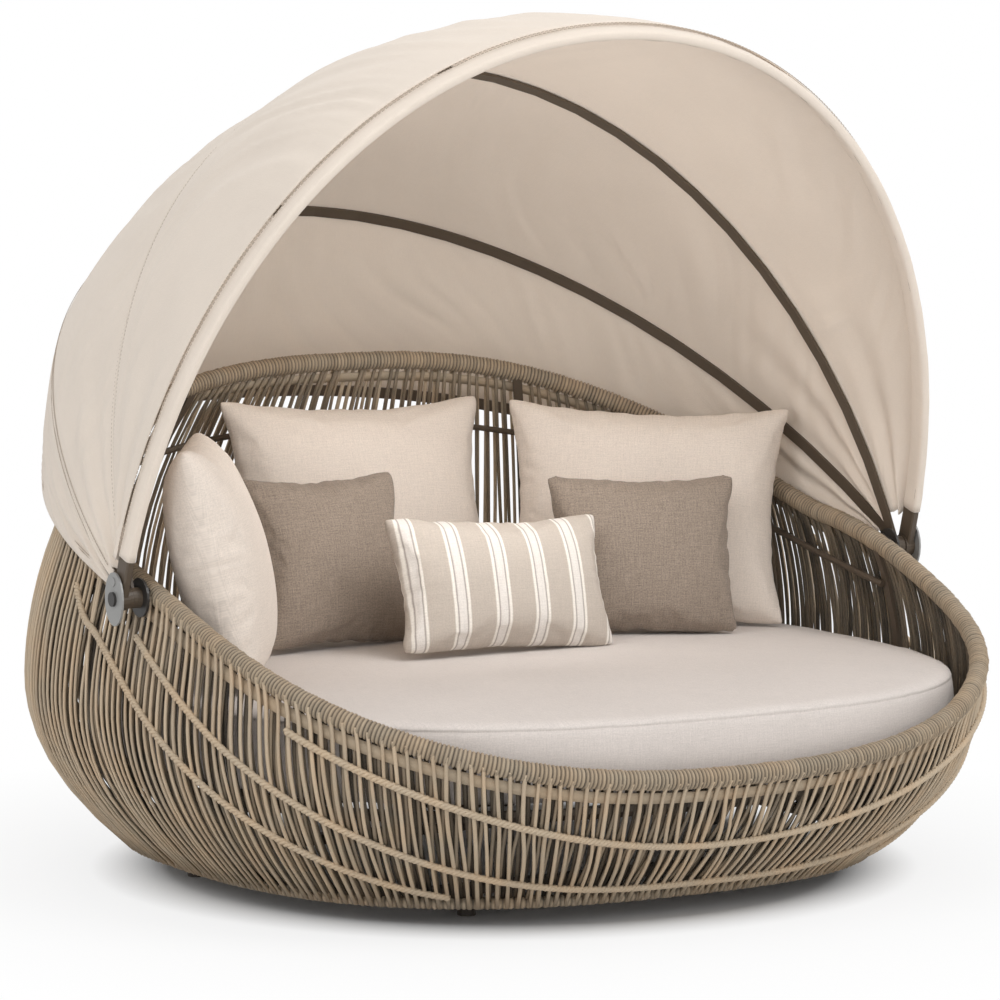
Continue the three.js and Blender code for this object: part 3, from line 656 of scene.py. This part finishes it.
def cord_layer(count, start, lean, depth, wide, thick, seed, tone, hug, highest):
    """One layer of wall cords from rim to base ring, where the rim is lower than highest"""
    uneven_start, uneven_lean, uneven_width, uneven_tone, most_sway = 0.14, 0.35, 0.13, 0.2, 0.16
    ease, waves, end_share = 0.05, 3.1 * 2, 0.09
    at_rim, at_base = rim_radius - 0.003, base_radius - 0.001
    chance = random.Random(seed)
    spans = 16
    angles, _ = even_angles(lambda a: wall_point(a, bulge_height * 0.9), count)
    step = 2 * math.pi / count
    paths, outs, widths, tones = [], [], [], []
    for angle in angles:
        if rim_height(angle) > highest:
            continue
        angle = angle + start * step + chance.uniform(-uneven_start, uneven_start) * step
        swing = lean * step * (1 + chance.uniform(-uneven_lean, uneven_lean))
        sway = chance.uniform(-most_sway, most_sway) * step
        phase = chance.uniform(0, 2 * math.pi)
        top = rim_height(angle)
        path, out = [], []
        for i in range(spans + 1):
            share = i / spans
            eased = share + ease * math.sin(2 * math.pi * share)
            turn = angle + swing * (share - 0.5) + sway * math.sin(waves * share + phase)
            z = top + (base_height - top) * min(max(eased, 0), 1)
            normal = wall_normal(turn, z)
            near_rim = 1 - smooth(share, 0.0, end_share)
            near_base = smooth(share, 1 - end_share, 1.0)
            out_by = depth + (hug * at_rim - depth) * near_rim
            out_by += (hug * at_base - depth) * near_base
            path.append(wall_point(turn, z) + normal * out_by)
            out.append(normal)
        paths.append(path)
        outs.append(out)
        widths.append(wide * (1 + chance.uniform(-uneven_width, uneven_width)))
        # The layer's tone, which is painted shade for the inner and the third layer, varies at
        # random from cord to cord
        tones.append(tone + chance.uniform(-uneven_tone, uneven_tone))
    widths = np.array(widths)[:, None]
    return laid_tubes(paths, outs, 6, widths, widths * thick / wide, tones)


def strap(seed):
    spans, uneven_tone = 240, 0.05
    angles, _ = even_angles(rim_point, spans)
    angles = list(angles) + [angles[0] + 2 * math.pi]
    heights = [rim_height(a) - strap_below_rim for a in angles]
    points = [wall_point(a, z) for a, z in zip(angles, heights)]
    outs = [wall_normal(a, z) for a, z in zip(angles, heights)]
    chance = random.Random(seed)
    tones = [strap_tone + chance.uniform(-uneven_tone, uneven_tone) for _ in angles]
    tones[-1] = tones[0]
    return laid_tubes([points], [outs], 6, strap_half_width, strap_half_thickness, tones,
                      closed=True)


class DAYBED_OT_wall(bpy.types.Operator):
    """Adds the wall's three layers of cords, the two deeper ones darkened with painted shade, and
    the flat strap under the rim
    """

    bl_idname = "daybed.wall"
    bl_label = "Wicker Wall"

    def execute(self, context):
        wicker, cord = context.scene.daybed.wicker, finish_of("wicker cord")
        count = int(loop_length(lambda a: wall_point(a, bulge_height)) / wicker.cord_pitch)
        half = wicker.cord_width / 2
        walls = [n for n in frame["nodes"] if n.startswith("wall_weave")]
        for name, (times, start, lean, depth, width, thick, seed, *ends) in cord_layers.items():
            layer = cord_layer(int(count * times), start, lean, depth, half * width, thick,
                               wicker.seed + seed, *ends)
            add_piece(f"{name}_cords", layer, cord, "nest",
                      walls if name == "outer" else ())
        add_piece("strap_under_rim", strap(wicker.seed), cord, "nest")
        return {"FINISHED"}


def band(seed, reach, start, end, low_share, high_share, power):
    plies, rise, uneven_tone, end_width = 3, 0.004, 0.12, 0.6
    low, high = rim_front * low_share, rim_back * high_share

    def place(away):
        z = low + (high - low) * abs(away / reach) ** power
        return math.radians(-90 + away), z

    fine = np.linspace(start, end, 721)
    run = run_along([wall_point(*place(a)) for a in fine])
    spans = int(run[-1] / band_step)
    aways = np.interp(np.linspace(0, run[-1], spans + 1), run, fine)
    paths, outs, tones = [], [], []
    chance = random.Random(seed)
    for ply in range(plies):
        path, out = [], []
        for i, away in enumerate(aways):
            angle, z = place(away)
            normal = wall_normal(angle, z)
            upwards = (wall_point(angle, z + rise) - wall_point(angle, z)).normalized()
            phase = 2 * math.pi * (run[-1] * i / spans / ply_pitch + ply / plies)
            outwards = band_outwards + ply_depth * math.cos(phase)
            point = wall_point(angle, z) + normal * outwards
            path.append(point + upwards * ply_rise * math.sin(phase))
            out.append(normal)
        paths.append(path)
        outs.append(out)
        tones.append(band_tone + chance.uniform(-uneven_tone, uneven_tone))
    widths = np.full(spans + 1, ply_half_width)
    widths[[0, -1]] *= end_width
    return laid_tubes(paths, outs, 6, widths, widths, tones)


class DAYBED_OT_bands(bpy.types.Operator):
    """Adds the twisted rope bands that bind the wall's cords"""

    bl_idname = "daybed.bands"
    bl_label = "Rope Bands"

    def execute(self, context):
        seed = context.scene.daybed.wicker.seed
        for name, *shape in bands:
            add_piece(f"rope_{name}", band(seed, *shape), finish_of("wicker cord"), "nest",
                      [f"binding_band_{name}"])
        return {"FINISHED"}


class DAYBED_OT_frame(bpy.types.Operator):
    """Gives the frame's metal pieces their finishes"""

    bl_idname = "daybed.frame"
    bl_label = "Frame Finishes"

    def execute(self, context):
        finishes = {
            "frame": "frame coat", "bow": "bow coat", "leg": "leg coat",
            "pivot_plate": "grey plate", "pivot_dark": "dark coat"}
        for name, node in frame["nodes"].items():
            if slots[name] in finishes:
                node.data.materials.clear()
                node.data.materials.append(finish_of(finishes[slots[name]]))
        return {"FINISHED"}


# The padded pieces


def crowned(share, edge_share):
    """The height of the mattress's top, where 1 is its side and 1 - edge_share the seam"""
    return mattress_top_edge + mattress_crown * (1 - min(share / (1 - edge_share), 1) ** 2)


def mattress_top(x, y):
    share = (
        abs(x / mattress_half_width) ** mattress_power
        + abs((y - mattress_middle) / mattress_reach) ** mattress_power
    ) ** (1 / mattress_power)
    return crowned(share, mattress_edge / mattress_reach)


def mattress_rings():
    """Rings from the middle of the underside out, up the side and in over the top"""
    bottom, edge = mattress_bottom, mattress_edge / mattress_reach
    lower_round, side_start, side_cut, bulge = 0.01, 0.012, 0.03, 0.006
    seam_depth, seam_half, upper_round = 0.016, 0.002, 0.014
    side_cuts, round_cuts = 10, 6
    rings = [(s, bottom) for s in (0.02, 0.3, 0.6, 0.85)]
    rings += [(1 - edge, bottom), (1 - edge * 0.55, bottom + lower_round * 0.4),
              (1 - edge * 0.3, bottom + lower_round)]
    for i in range(1, side_cuts):
        t = i / side_cuts
        rings.append((1 + bulge * math.sin(math.pi * t) - edge * 0.2,
                      bottom + side_start + (mattress_depth - side_cut) * t))
    seam = mattress_top_edge - seam_depth
    rings += [(1 - edge * 0.24, seam - seam_half), (1 - edge * 0.3, seam),
              (1 - edge * 0.24, seam + seam_half)]
    for i in range(1, round_cuts + 1):
        t = math.pi / 2 * i / round_cuts
        rings.append((1 - edge * (0.26 + 1.5 * (1 - math.cos(t))),
                      seam + seam_half + upper_round * math.sin(t)))
    last = rings[-1][0]
    for s in (0.93, 0.88, 0.82, 0.75, 0.67, 0.58, 0.48, 0.37, 0.25, 0.13, 0.02):
        rings.append((last * s, crowned(last * s, edge)))
    return rings


def unevenness(x, y, z, angle, share):
    """Soft dents in the top and small puckers beside the seam"""
    dent, pucker, reach_down = 0.003, 0.0022, 0.03
    if z < mattress_top_edge - reach_down:
        return 0
    soft = noise.noise(Vector((x * 2.2, y * 2.2, 3.0))) * dent
    puckers = noise.noise(Vector((angle * 26, 0.3, 8.0))) * pucker * smooth(share, 0.88, 0.98)
    return (soft + puckers) * smooth(z, mattress_top_edge - reach_down, mattress_top_edge)


def mattress():
    around = 240
    levels = mattress_rings()
    bm = bmesh.new()
    rings = [bmesh.ops.create_circle(bm, segments=around, radius=1)["verts"]]
    edges = list(bm.edges)
    for _ in levels[1:]:
        made = bmesh.ops.extrude_edge_only(bm, edges=edges)["geom"]
        rings.append([v for v in made if isinstance(v, bmesh.types.BMVert)])
        last = set(rings[-1])
        edges = [e for e in made if isinstance(e, bmesh.types.BMEdge) and last.issuperset(e.verts)]
    for (share, z), verts in zip(levels, rings):
        for v in verts:
            angle = math.atan2(v.co.y, v.co.x)
            x = mattress_half_width * share * signed_power(math.cos(angle), 2 / mattress_power)
            y = mattress_middle + mattress_reach * share * signed_power(
                math.sin(angle), 2 / mattress_power)
            v.co = (x, y, z + unevenness(x, y, z, angle, share))
    bmesh.ops.holes_fill(bm, edges=[e for e in bm.edges if e.is_boundary], sides=around)
    bmesh.ops.recalc_face_normals(bm, faces=bm.faces)
    uv = bm.loops.layers.uv.new("cloth")
    for face in bm.faces:
        face.smooth = True
        flat = abs(face.normal.z) > 0.55
        for loop in face.loops:
            co = loop.vert.co
            angle = math.atan2(co.y - mattress_middle, co.x)
            loop[uv].uv = (co.x, co.y) if flat else (angle * mattress_half_width, co.z)
    return made_mesh(bm, "mattress")


class DAYBED_OT_mattress(bpy.types.Operator):
    """Adds the round mattress with its seams"""

    bl_idname = "daybed.mattress"
    bl_label = "Mattress"

    def execute(self, context):
        piece = add_piece("padded_mattress", mattress(), finish_of("mattress linen"), "nest",
                          ["mattress"])
        return {"FINISHED"}


def pillow_matrix(yaw, lean, roll):
    turn = Matrix.Rotation(math.radians(yaw), 4, "Z")
    back = Matrix.Rotation(math.radians(-lean), 4, "X")
    return turn @ back @ Matrix.Rotation(math.radians(roll), 4, "Y")


def pillow_blank(width, height, depth, pinch, steps):
    """Two crowned faces that meet along a seam, in the pillow's own upright plane"""
    fullness, low_pinch_share, corner_power = 0.45, 0.3, 12
    bm = bmesh.new()
    for side in (-1, 1):
        made = bmesh.ops.create_grid(bm, x_segments=steps, y_segments=steps, size=1)["verts"]
        for v in made:
            u = math.sin(math.pi / 2 * v.co.x)
            w = math.sin(math.pi / 2 * v.co.y)
            full = max((1 - u * u) * (1 - w * w), 0) ** fullness
            low_pinch = pinch * (low_pinch_share if w < 0 else 1)
            x = u * width / 2 * (1 - pinch * (1 - w * w) * u * u)
            z = w * height / 2 * (1 - low_pinch * (1 - u * u) * w * w)
            corner = (abs(u) * abs(w)) ** corner_power
            z -= math.copysign(pillow_ears, w) * corner
            x -= math.copysign(pillow_ears, u) * corner
            v.co = (x, side * full * depth / 2, z)
    bmesh.ops.remove_doubles(bm, verts=bm.verts, dist=1e-5)
    bmesh.ops.recalc_face_normals(bm, faces=bm.faces)
    return made_mesh(bm, "pillow")


def with_modifier(mesh, kind, settle, frames=0):
    """The mesh as a modifier shapes it, after some frames of simulation"""
    scene = bpy.context.scene
    pad = linked("pad", mesh)
    settle(pad.modifiers.new(kind.title(), kind))
    for number in range(1, frames + 1):
        scene.frame_set(number)
    depsgraph = bpy.context.evaluated_depsgraph_get()
    shaped = bpy.data.meshes.new_from_object(pad.evaluated_get(depsgraph))
    bpy.data.objects.remove(pad)
    if frames:
        scene.frame_set(1)
    return shaped


def remeshed(mesh):
    """The same shape with even faces"""
    def settle(even):
        even.mode = "VOXEL"
        even.voxel_size = pillow_voxel

    return with_modifier(mesh, "REMESH", settle)


def swollen(mesh, pressure):
    """Swells a closed cloth with a simulation, and keeps each point near where it was"""
    def settle(cloth):
        for key, value in pillow_cloth.items():
            setattr(cloth.settings, key, value)
        cloth.settings.uniform_pressure_force = pressure
        cloth.settings.effector_weights.gravity = 0
        cloth.collision_settings.use_collision = False

    start = coordinates(mesh)
    shaped = with_modifier(mesh, "CLOTH", settle, frames=20)
    move = coordinates(shaped) - start
    move *= pillow_swell / (pillow_swell + np.linalg.norm(move, axis=1, keepdims=True))
    move_points(shaped, start + move)
    return shaped


def add_dents(mesh, width, height, seed):
    """Soft dents over both faces and small puckers near the seam"""
    dent_depth, pucker_depth = 0.006, 0.0035
    for v in mesh.vertices:
        u, w = 2 * v.co.x / width, 2 * v.co.z / height
        edge = max(abs(u), abs(w))
        soft = noise.noise(Vector((u * 1.5, w * 1.3, seed + v.co.y)))
        around = math.atan2(w, u)
        pucker = noise.noise(Vector((around * 9, edge * 1.5, seed + 31)))
        depth = dent_depth * soft + pucker_depth * pucker * smooth(edge, 0.55, 0.95)
        v.co += v.normal * depth * (1 - smooth(edge, 0.93, 1.0))


def pillow(pads, name, shares, turns, pinch):
    across, forward, width, height, depth = (s * mattress_half_width for s in shares)
    unswollen_depth, unswollen_pinch = 0.9, 0.85
    mesh = remeshed(pillow_blank(width, height, depth * unswollen_depth,
                                 pinch * unswollen_pinch, pads.fineness))
    flat = coordinates(mesh)
    mesh = swollen(mesh, pads.pressure)
    add_dents(mesh, width, height, sum(map(ord, name)))
    uv = mesh.uv_layers.new(name="cloth")
    corners = np.empty(len(mesh.loops), np.int32)
    mesh.loops.foreach_get("vertex_index", corners)
    uv.data.foreach_set("uv", flat[corners][:, [0, 2]].reshape(-1).astype(np.float32))
    bm = bmesh.new()
    bm.from_mesh(mesh)
    bmesh.ops.subdivide_edges(bm, edges=bm.edges, cuts=1, use_grid_fill=True, smooth=0.7)
    bmesh.ops.smooth_vert(
        bm, verts=bm.verts, factor=0.4, use_axis_x=True, use_axis_y=True, use_axis_z=True)
    bm.to_mesh(mesh)
    bm.free()
    mesh.transform(pillow_matrix(*turns))
    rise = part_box(name)[1].z - coordinates(mesh)[:, 2].max()
    shift = Vector((across, nest_y + mattress_back - forward, rise))
    mesh.transform(Matrix.Translation(shift))
    for v in mesh.vertices:
        v.co.z = max(v.co.z, mattress_top(v.co.x, v.co.y) + pillow_clearance)
    return tidy(mesh)


class DAYBED_OT_pillows(bpy.types.Operator):
    """Adds the six pillows, swelled by a cloth simulation and pressed onto the mattress"""

    bl_idname = "daybed.pillows"
    bl_label = "Pillows"

    def execute(self, context):
        pads = context.scene.daybed.pads
        finishes = {"cream_fabric": "cream linen", "taupe_fabric": "taupe linen",
                    "striped_fabric": "striped linen"}
        for name, (shares, turns, pinch) in pillows.items():
            mesh = pillow(pads, name, shares, turns, pinch)
            piece = add_piece(f"padded_{name}", mesh, finish_of(finishes[slots[name]]), "nest",
                              [name])
        return {"FINISHED"}


# The canopy


def arch_start(bow, height):
    return math.asin((height / bow[0]) ** (bow[2] / 2))


def arch_point(bow, angle, outside):
    """Half width and height on an arch in its own plane, a distance outside its middle line"""
    height, _, power, half_width = bow
    x = half_width * signed_power(math.cos(angle), 2 / power)
    h = height * abs(math.sin(angle)) ** (2 / power)
    slope = Vector((
        signed_power(x / half_width, power - 1) / half_width,
        (h / height) ** (power - 1) / height)).normalized()
    return x + slope.x * outside, h + slope.y * outside


def bow_shape(name):
    """Height, lean, power and half width of a bow, without the hubs at its ends"""
    low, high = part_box(f"{name}_bow")
    hub = {"front": 0.0105}.get(name, 0.0045)
    return (*bows[name], (high.x - low.x) / 2 - hub)


def bow_body(name):
    return "nest" if name == "rear" else f"{name}_bow"


def leaned(x, radius, lean):
    """A point at a distance from the pivots' line and a lean about it"""
    return Vector((x, nest_y - math.cos(lean) * radius, pivot_z + math.sin(lean) * radius))


def wrinkles(s, t, inner, depth, seed):
    """Soft folds across the panel, stronger beside the bows and low at the sides"""
    away = 4 * inner * (1 - inner)
    side = min(s, 1 - s)
    low = 1 - smooth(side, 0.0, 0.2)
    warp = noise.noise(Vector((s * 6, t * 1.3, seed * 5.7 + 40)))
    slant = (0.5 - t) * 2.0 * math.cos(math.pi * s)
    slanted = s * 17 + slant + warp * 1.2
    broad = noise.noise(Vector((slanted, t * 0.9, seed * 7.3)))
    crease = 0.3 - abs(noise.noise(Vector((slanted * 2.1, t * 1.1 + 5, seed * 2.9))))
    fine = 0.3 - abs(noise.noise(Vector((slanted * 4.6, t * 1.7, seed * 3.1 + 20))))
    edge = sum(math.exp(-((inner - at) / 0.16) ** 2) for at in (0.14, 0.86))
    gather = low * math.sin(2 * math.pi * (t * 2.2 + 0.15 * seed) + warp) * 0.9
    shape = (0.7 * broad + crease) * away ** 0.6 + 0.35 * fine * (0.3 + edge) * away ** 0.3
    return depth * (shape + gather * away)


def panel(back, fore, start, end, at_sleeve, wrinkle, seed):
    """The cloth between two bows as a mesh, and its flat width and length"""
    over_sleeve, off_bow, least_span, sideways = 0.0048, 0.0004, 0.05, 0.9
    face = bar_half_thickness + cloth_gap
    fore_face = tube_half_thickness + over_sleeve if at_sleeve else face
    bar = bar_half_width + cloth_gap
    back_start = arch_start(back, hem_height)
    fore_start = arch_start(fore, hem_height)
    bm = bmesh.new()
    grid = bmesh.ops.create_grid(
        bm, x_segments=canopy_steps[0], y_segments=canopy_steps[1], size=0.5)["verts"]
    uv = bm.loops.layers.uv.new("cloth")
    places = {}
    for v in grid:
        s, t = v.co.x + 0.5, v.co.y + 0.5
        places[v] = (s, t)
        first = back_start + (math.pi - 2 * back_start) * s
        second = fore_start + (math.pi - 2 * fore_start) * s
        x0, y0 = arch_point(back, first, face)
        x1, y1 = arch_point(fore, second, fore_face)
        lean0 = math.radians(back[1]) + math.atan2(-start, y0)
        lean1 = math.radians(fore[1]) + math.atan2(end, y1)
        lean = lean0 + (lean1 - lean0) * t
        chord = 1 - math.cos((lean0 - lean1) / 2)
        radius0, radius1 = math.hypot(y0, start), math.hypot(y1, end)
        flat0 = max(bar - abs(start), 0) / max(abs(radius0 * (lean0 - lean1)), least_span)
        flat1 = 0 if at_sleeve else flat0
        inner = min(max((t - flat0) / (1 - flat0 - flat1), 0), 1)
        sag = sag_share * chord * 4 * inner * (1 - inner)
        radius = (radius0 + (radius1 - radius0) * t) * (1 - sag)
        x = x0 + (x1 - x0) * t
        place = leaned(x, radius, lean)
        outward = Vector((
            math.cos(math.pi * s) * sideways, *(leaned(0, 1, lean) - leaned(0, 0, lean)).yz
        )).normalized()
        depth = wrinkles(s, t, inner, wrinkle, seed)
        v.co = place + outward * (depth + off_bow)

    def run(chosen, order):
        line = sorted((v for v in grid if chosen(*places[v])), key=lambda v: places[v][order])
        return sum((a.co - b.co).length for a, b in zip(line, line[1:]))

    near = 0.0001
    width = run(lambda s, t: abs(s - 0.5) < near, 1)
    length = max(run(lambda s, t: t < near, 0), run(lambda s, t: t > 1 - near, 0))
    for f in bm.faces:
        f.smooth = True
        for loop in f.loops:
            s, t = places[loop.vert]
            loop[uv].uv = (s * cloth_length, t * cloth_width)
    bmesh.ops.recalc_face_normals(bm, faces=bm.faces)
    centre = Vector((0, nest_y, pivot_z))
    top = max(bm.faces, key=lambda f: f.calc_center_median().z)
    if top.normal.dot(top.calc_center_median() - centre) < 0:
        bmesh.ops.reverse_faces(bm, faces=bm.faces)
    bmesh.ops.solidify(bm, geom=bm.faces, thickness=-cloth_thickness)
    return made_mesh(bm, "panel"), (width, length)


class DAYBED_OT_canopy(bpy.types.Operator):
    """Adds the canopy's three cloth panels, drawn tight between the bows"""

    bl_idname = "daybed.canopy"
    bl_label = "Canopy Cloth"

    def execute(self, context):
        wrinkle = context.scene.daybed.canopy.wrinkle
        short_of_seam, short_of_edge = 0.00015, 0.002
        rows = [("rear", "rear", "middle"), ("middle", "middle", "upper"),
                ("front", "upper", "front")]
        for seed, (name, back, fore) in enumerate(rows, start=1):
            at_sleeve = fore == "front"
            start = -(bar_half_width + cloth_gap) if back == "rear" else short_of_seam
            end = tube_half_width - short_of_edge if at_sleeve else short_of_seam
            mesh, flat = panel(bow_shape(back), bow_shape(fore), start, end, at_sleeve,
                                    wrinkle, seed)
            piece = add_piece(f"cloth_{name}_panel", mesh, finish_of("canopy cloth"), None,
                              [f"canopy_{name}_panel"])
            middle = [leaned(0, blend_radius, math.radians(bows[b][1])) for b in (back, fore)]
            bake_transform(piece)
        return {"FINISHED"}


def sleeve():
    bow = bow_shape("front")
    lean = math.radians(bow[1])
    start = arch_start(bow, sleeve_hem_height)
    spans, sides, off_tube, thickness = 220, 24, 0.0024, 0.0012
    ripple_depth, ripple_swell = 0.0009, 40
    half_depth = tube_half_thickness + off_tube
    half_width = tube_half_width + off_tube
    bm = cut_cone(spans, sides, False)
    uv = bm.loops.layers.uv.new("cloth")
    ahead = leaned(0, 1, lean - math.pi / 2) - leaned(0, 0, lean)
    places = {}
    for v in bm.verts:
        s = v.co.z / spans + 0.5
        turn = math.atan2(v.co.y, v.co.x)
        places[v] = (s, turn)
        angle = start + (math.pi - 2 * start) * s
        deep = signed_power(math.cos(turn), 0.5) * half_depth
        wide = signed_power(math.sin(turn), 0.5) * half_width
        ripple = noise.noise(Vector((s * 60, math.sin(turn) * 1.6, 4.0))) * ripple_depth
        swell = 1 + ripple * ripple_swell
        x, h = arch_point(bow, angle, deep * swell + ripple)
        v.co = leaned(x, h, lean) + ahead * wide * swell
    bmesh.ops.recalc_face_normals(bm, faces=bm.faces)
    for f in bm.faces:
        f.smooth = True
        turns = [places[loop.vert][1] for loop in f.loops]
        wrap = max(turns) - min(turns) > math.pi
        for loop in f.loops:
            s, turn = places[loop.vert]
            if wrap and turn < 0:
                turn += 2 * math.pi
            loop[uv].uv = (s * cloth_length, turn * tube_half_width)
    bmesh.ops.solidify(bm, geom=bm.faces, thickness=thickness)
    return made_mesh(bm, "sleeve")


class DAYBED_OT_sleeve(bpy.types.Operator):
    """Adds the cloth sleeve that is sewn round the front bow"""

    bl_idname = "daybed.sleeve"
    bl_label = "Front Sleeve"

    def execute(self, context):
        add_piece("cloth_front_sleeve", sleeve(), finish_of("canopy cloth"), "front_bow",
                  ["canopy_front_sleeve"])
        return {"FINISHED"}


def stitch_rows(bow, outside, acrosses):
    from_hem, bulge = 0.01, 0.0005
    start = arch_start(bow, sleeve_hem_height + from_hem)
    fine = np.linspace(start, math.pi - start, 901)
    run = run_along([arch_point(bow, a, outside) for a in fine])
    count = int(run[-1] / stitch_spacing)
    lean = math.radians(bow[1])
    paths, outs = [], []
    for across in acrosses:
        for i in range(count):
            middle = (i + 0.5) * stitch_spacing
            path, out = [], []
            for offset in (-0.5, 0, 0.5):
                angle = np.interp(middle + offset * stitch_length, run, fine)
                x, h = arch_point(bow, angle, outside + bulge * (1 - abs(offset) * 2))
                tilt = lean + math.atan2(across, h)
                path.append(leaned(x, math.hypot(h, across), tilt))
                out.append(leaned(x * 0.5, h, lean) - leaned(0, 0, lean))
            paths.append(path)
            outs.append(out)
    return laid_tubes(paths, outs, 5, stitch_half_width, stitch_half_thickness)


class DAYBED_OT_stitches(bpy.types.Operator):
    """Adds the rows of stitches beside the bows and along the sleeve"""

    bl_idname = "daybed.stitches"
    bl_label = "Stitches"

    def execute(self, context):
        over_panel, over_lap = 0.0026, 0.0072
        flat_face = bar_half_thickness + over_panel
        lapped_face = tube_half_thickness + over_lap
        rows = {
            "rear": (flat_face, (-0.004, -0.009)),
            "middle": (flat_face, (-0.007, 0.007)),
            "upper": (flat_face, (-0.007, 0.007)),
            "front": (lapped_face, (0.006, 0.014)),
        }
        for name, row in rows.items():
            add_piece(f"stitches_{name}", stitch_rows(bow_shape(name), *row),
                      finish_of("seam thread"), bow_body(name))
        return {"FINISHED"}


# The stage


def add_floor():
    """A pale floor that the camera sees as white further away from the nest"""
    near, edge, far = 0.68, 0.84, 1.6
    bm = bmesh.new()
    bmesh.ops.create_grid(bm, x_segments=2, y_segments=2, size=60)
    mesh = made_mesh(bm, "floor")
    finish = Finish("pale floor")
    finish.surface((0.8, 0.8, 0.8), 0.9, Specular_IOR_Level=0.0)
    glow = finish.node("Emission", {"Color": (1, 1, 1, 1), "Strength": 1.0})
    seen = finish.node("LightPath", output="Is Camera Ray")
    offset = finish.node("VectorMath", {0: finish.place(), 1: (0, 0.1, 0)}, operation="ADD")
    away = finish.node("VectorMath", {0: offset}, 1, operation="LENGTH")
    clear = 0.8 * away.between(near, edge) + 0.2 * away.between(edge, far)
    mixed = finish.node("MixShader", {
        0: seen * clear, 1: Value(finish, finish.shader.outputs[0]), 2: glow})
    finish.feed(finish.nodes["Material Output"].inputs["Surface"], mixed)
    mesh.materials.append(finish.material)
    linked("floor", mesh)


def add_world(scene):
    world = bpy.data.worlds.new("studio")
    scene.world = world
    net = Net(world)
    sky = net.nodes["Background"]
    sky.inputs["Color"].default_value = (1, 1, 1, 1)
    sky.inputs["Strength"].default_value = sky_strength
    white = net.node("Background", {"Color": (1, 1, 1, 1)})
    rays = net.nodes.new("ShaderNodeLightPath")
    seen = [Value(net, rays.outputs[f"Is {kind} Ray"]) for kind in ("Camera", "Glossy")]
    mixed = net.node("MixShader", {
        0: seen[0].sum_with("MAXIMUM", *seen), 1: Value(net, sky.outputs[0]), 2: white})
    net.feed(net.nodes["World Output"].inputs["Surface"], mixed)


def add_lamp(name, place, size, power, target):
    light = bpy.data.lights.new(name, "AREA")
    light.size = size
    light.energy = power
    lamp = linked(name, light)
    lamp.location = place
    lamp.rotation_euler = (Vector(target) - lamp.location).to_track_quat("-Z", "Y").to_euler()


def add_camera(scene):
    camera = bpy.data.cameras.new("camera")
    camera.lens = camera_lens
    camera.sensor_width = camera_sensor
    camera.clip_end = 200
    seat = linked("camera", camera)
    right, forward = Vector(camera_right).normalized(), Vector(camera_forward).normalized()
    turned = Matrix((right, right.cross(forward), -forward)).transposed()
    seat.matrix_world = Matrix.Translation(camera_place) @ turned.to_4x4()
    scene.camera = seat


class DAYBED_OT_stage(bpy.types.Operator):
    """Adds the floor, the lamps and the camera"""

    bl_idname = "daybed.stage"
    bl_label = "Stage"

    def execute(self, context):
        add_floor()
        add_world(context.scene)
        for name, settings in lamps.items():
            add_lamp(name, *settings)
        add_camera(context.scene)
        context.scene.view_settings.view_transform = "Standard"
        return {"FINISHED"}


operators = [
    DAYBED_OT_rim, DAYBED_OT_wall, DAYBED_OT_bands, DAYBED_OT_frame, DAYBED_OT_mattress,
    DAYBED_OT_pillows, DAYBED_OT_canopy, DAYBED_OT_sleeve, DAYBED_OT_stitches,
    DAYBED_OT_stage,
]


class DAYBED_PT_panel(bpy.types.Panel):
    """Lists the daybed's sizes and pieces"""

    bl_idname = "DAYBED_PT_panel"
    bl_label = "Canopy Daybed"
    bl_space_type = "VIEW_3D"
    bl_region_type = "UI"
    bl_category = "Daybed"

    def draw(self, context):
        settings = context.scene.daybed
        for group in (settings.wicker, settings.pads, settings.canopy):
            box = self.layout.box()
            for key in group.__annotations__:
                box.prop(group, key)
        for operator in operators:
            self.layout.operator(operator.bl_idname)


classes = [WickerSettings, PadSettings, CanopySettings, DaybedSettings, *operators,
           DAYBED_PT_panel]


def register():
    for each in classes:
        bpy.utils.register_class(each)
    bpy.types.Scene.daybed = PointerProperty(type=DaybedSettings)


def unregister():
    del bpy.types.Scene.daybed
    for each in reversed(classes):
        bpy.utils.unregister_class(each)


def main():
    register()
    for operator in operators:
        group, name = operator.bl_idname.split(".")
        getattr(getattr(bpy.ops, group), name)()


if __name__ == "__main__":
    main()
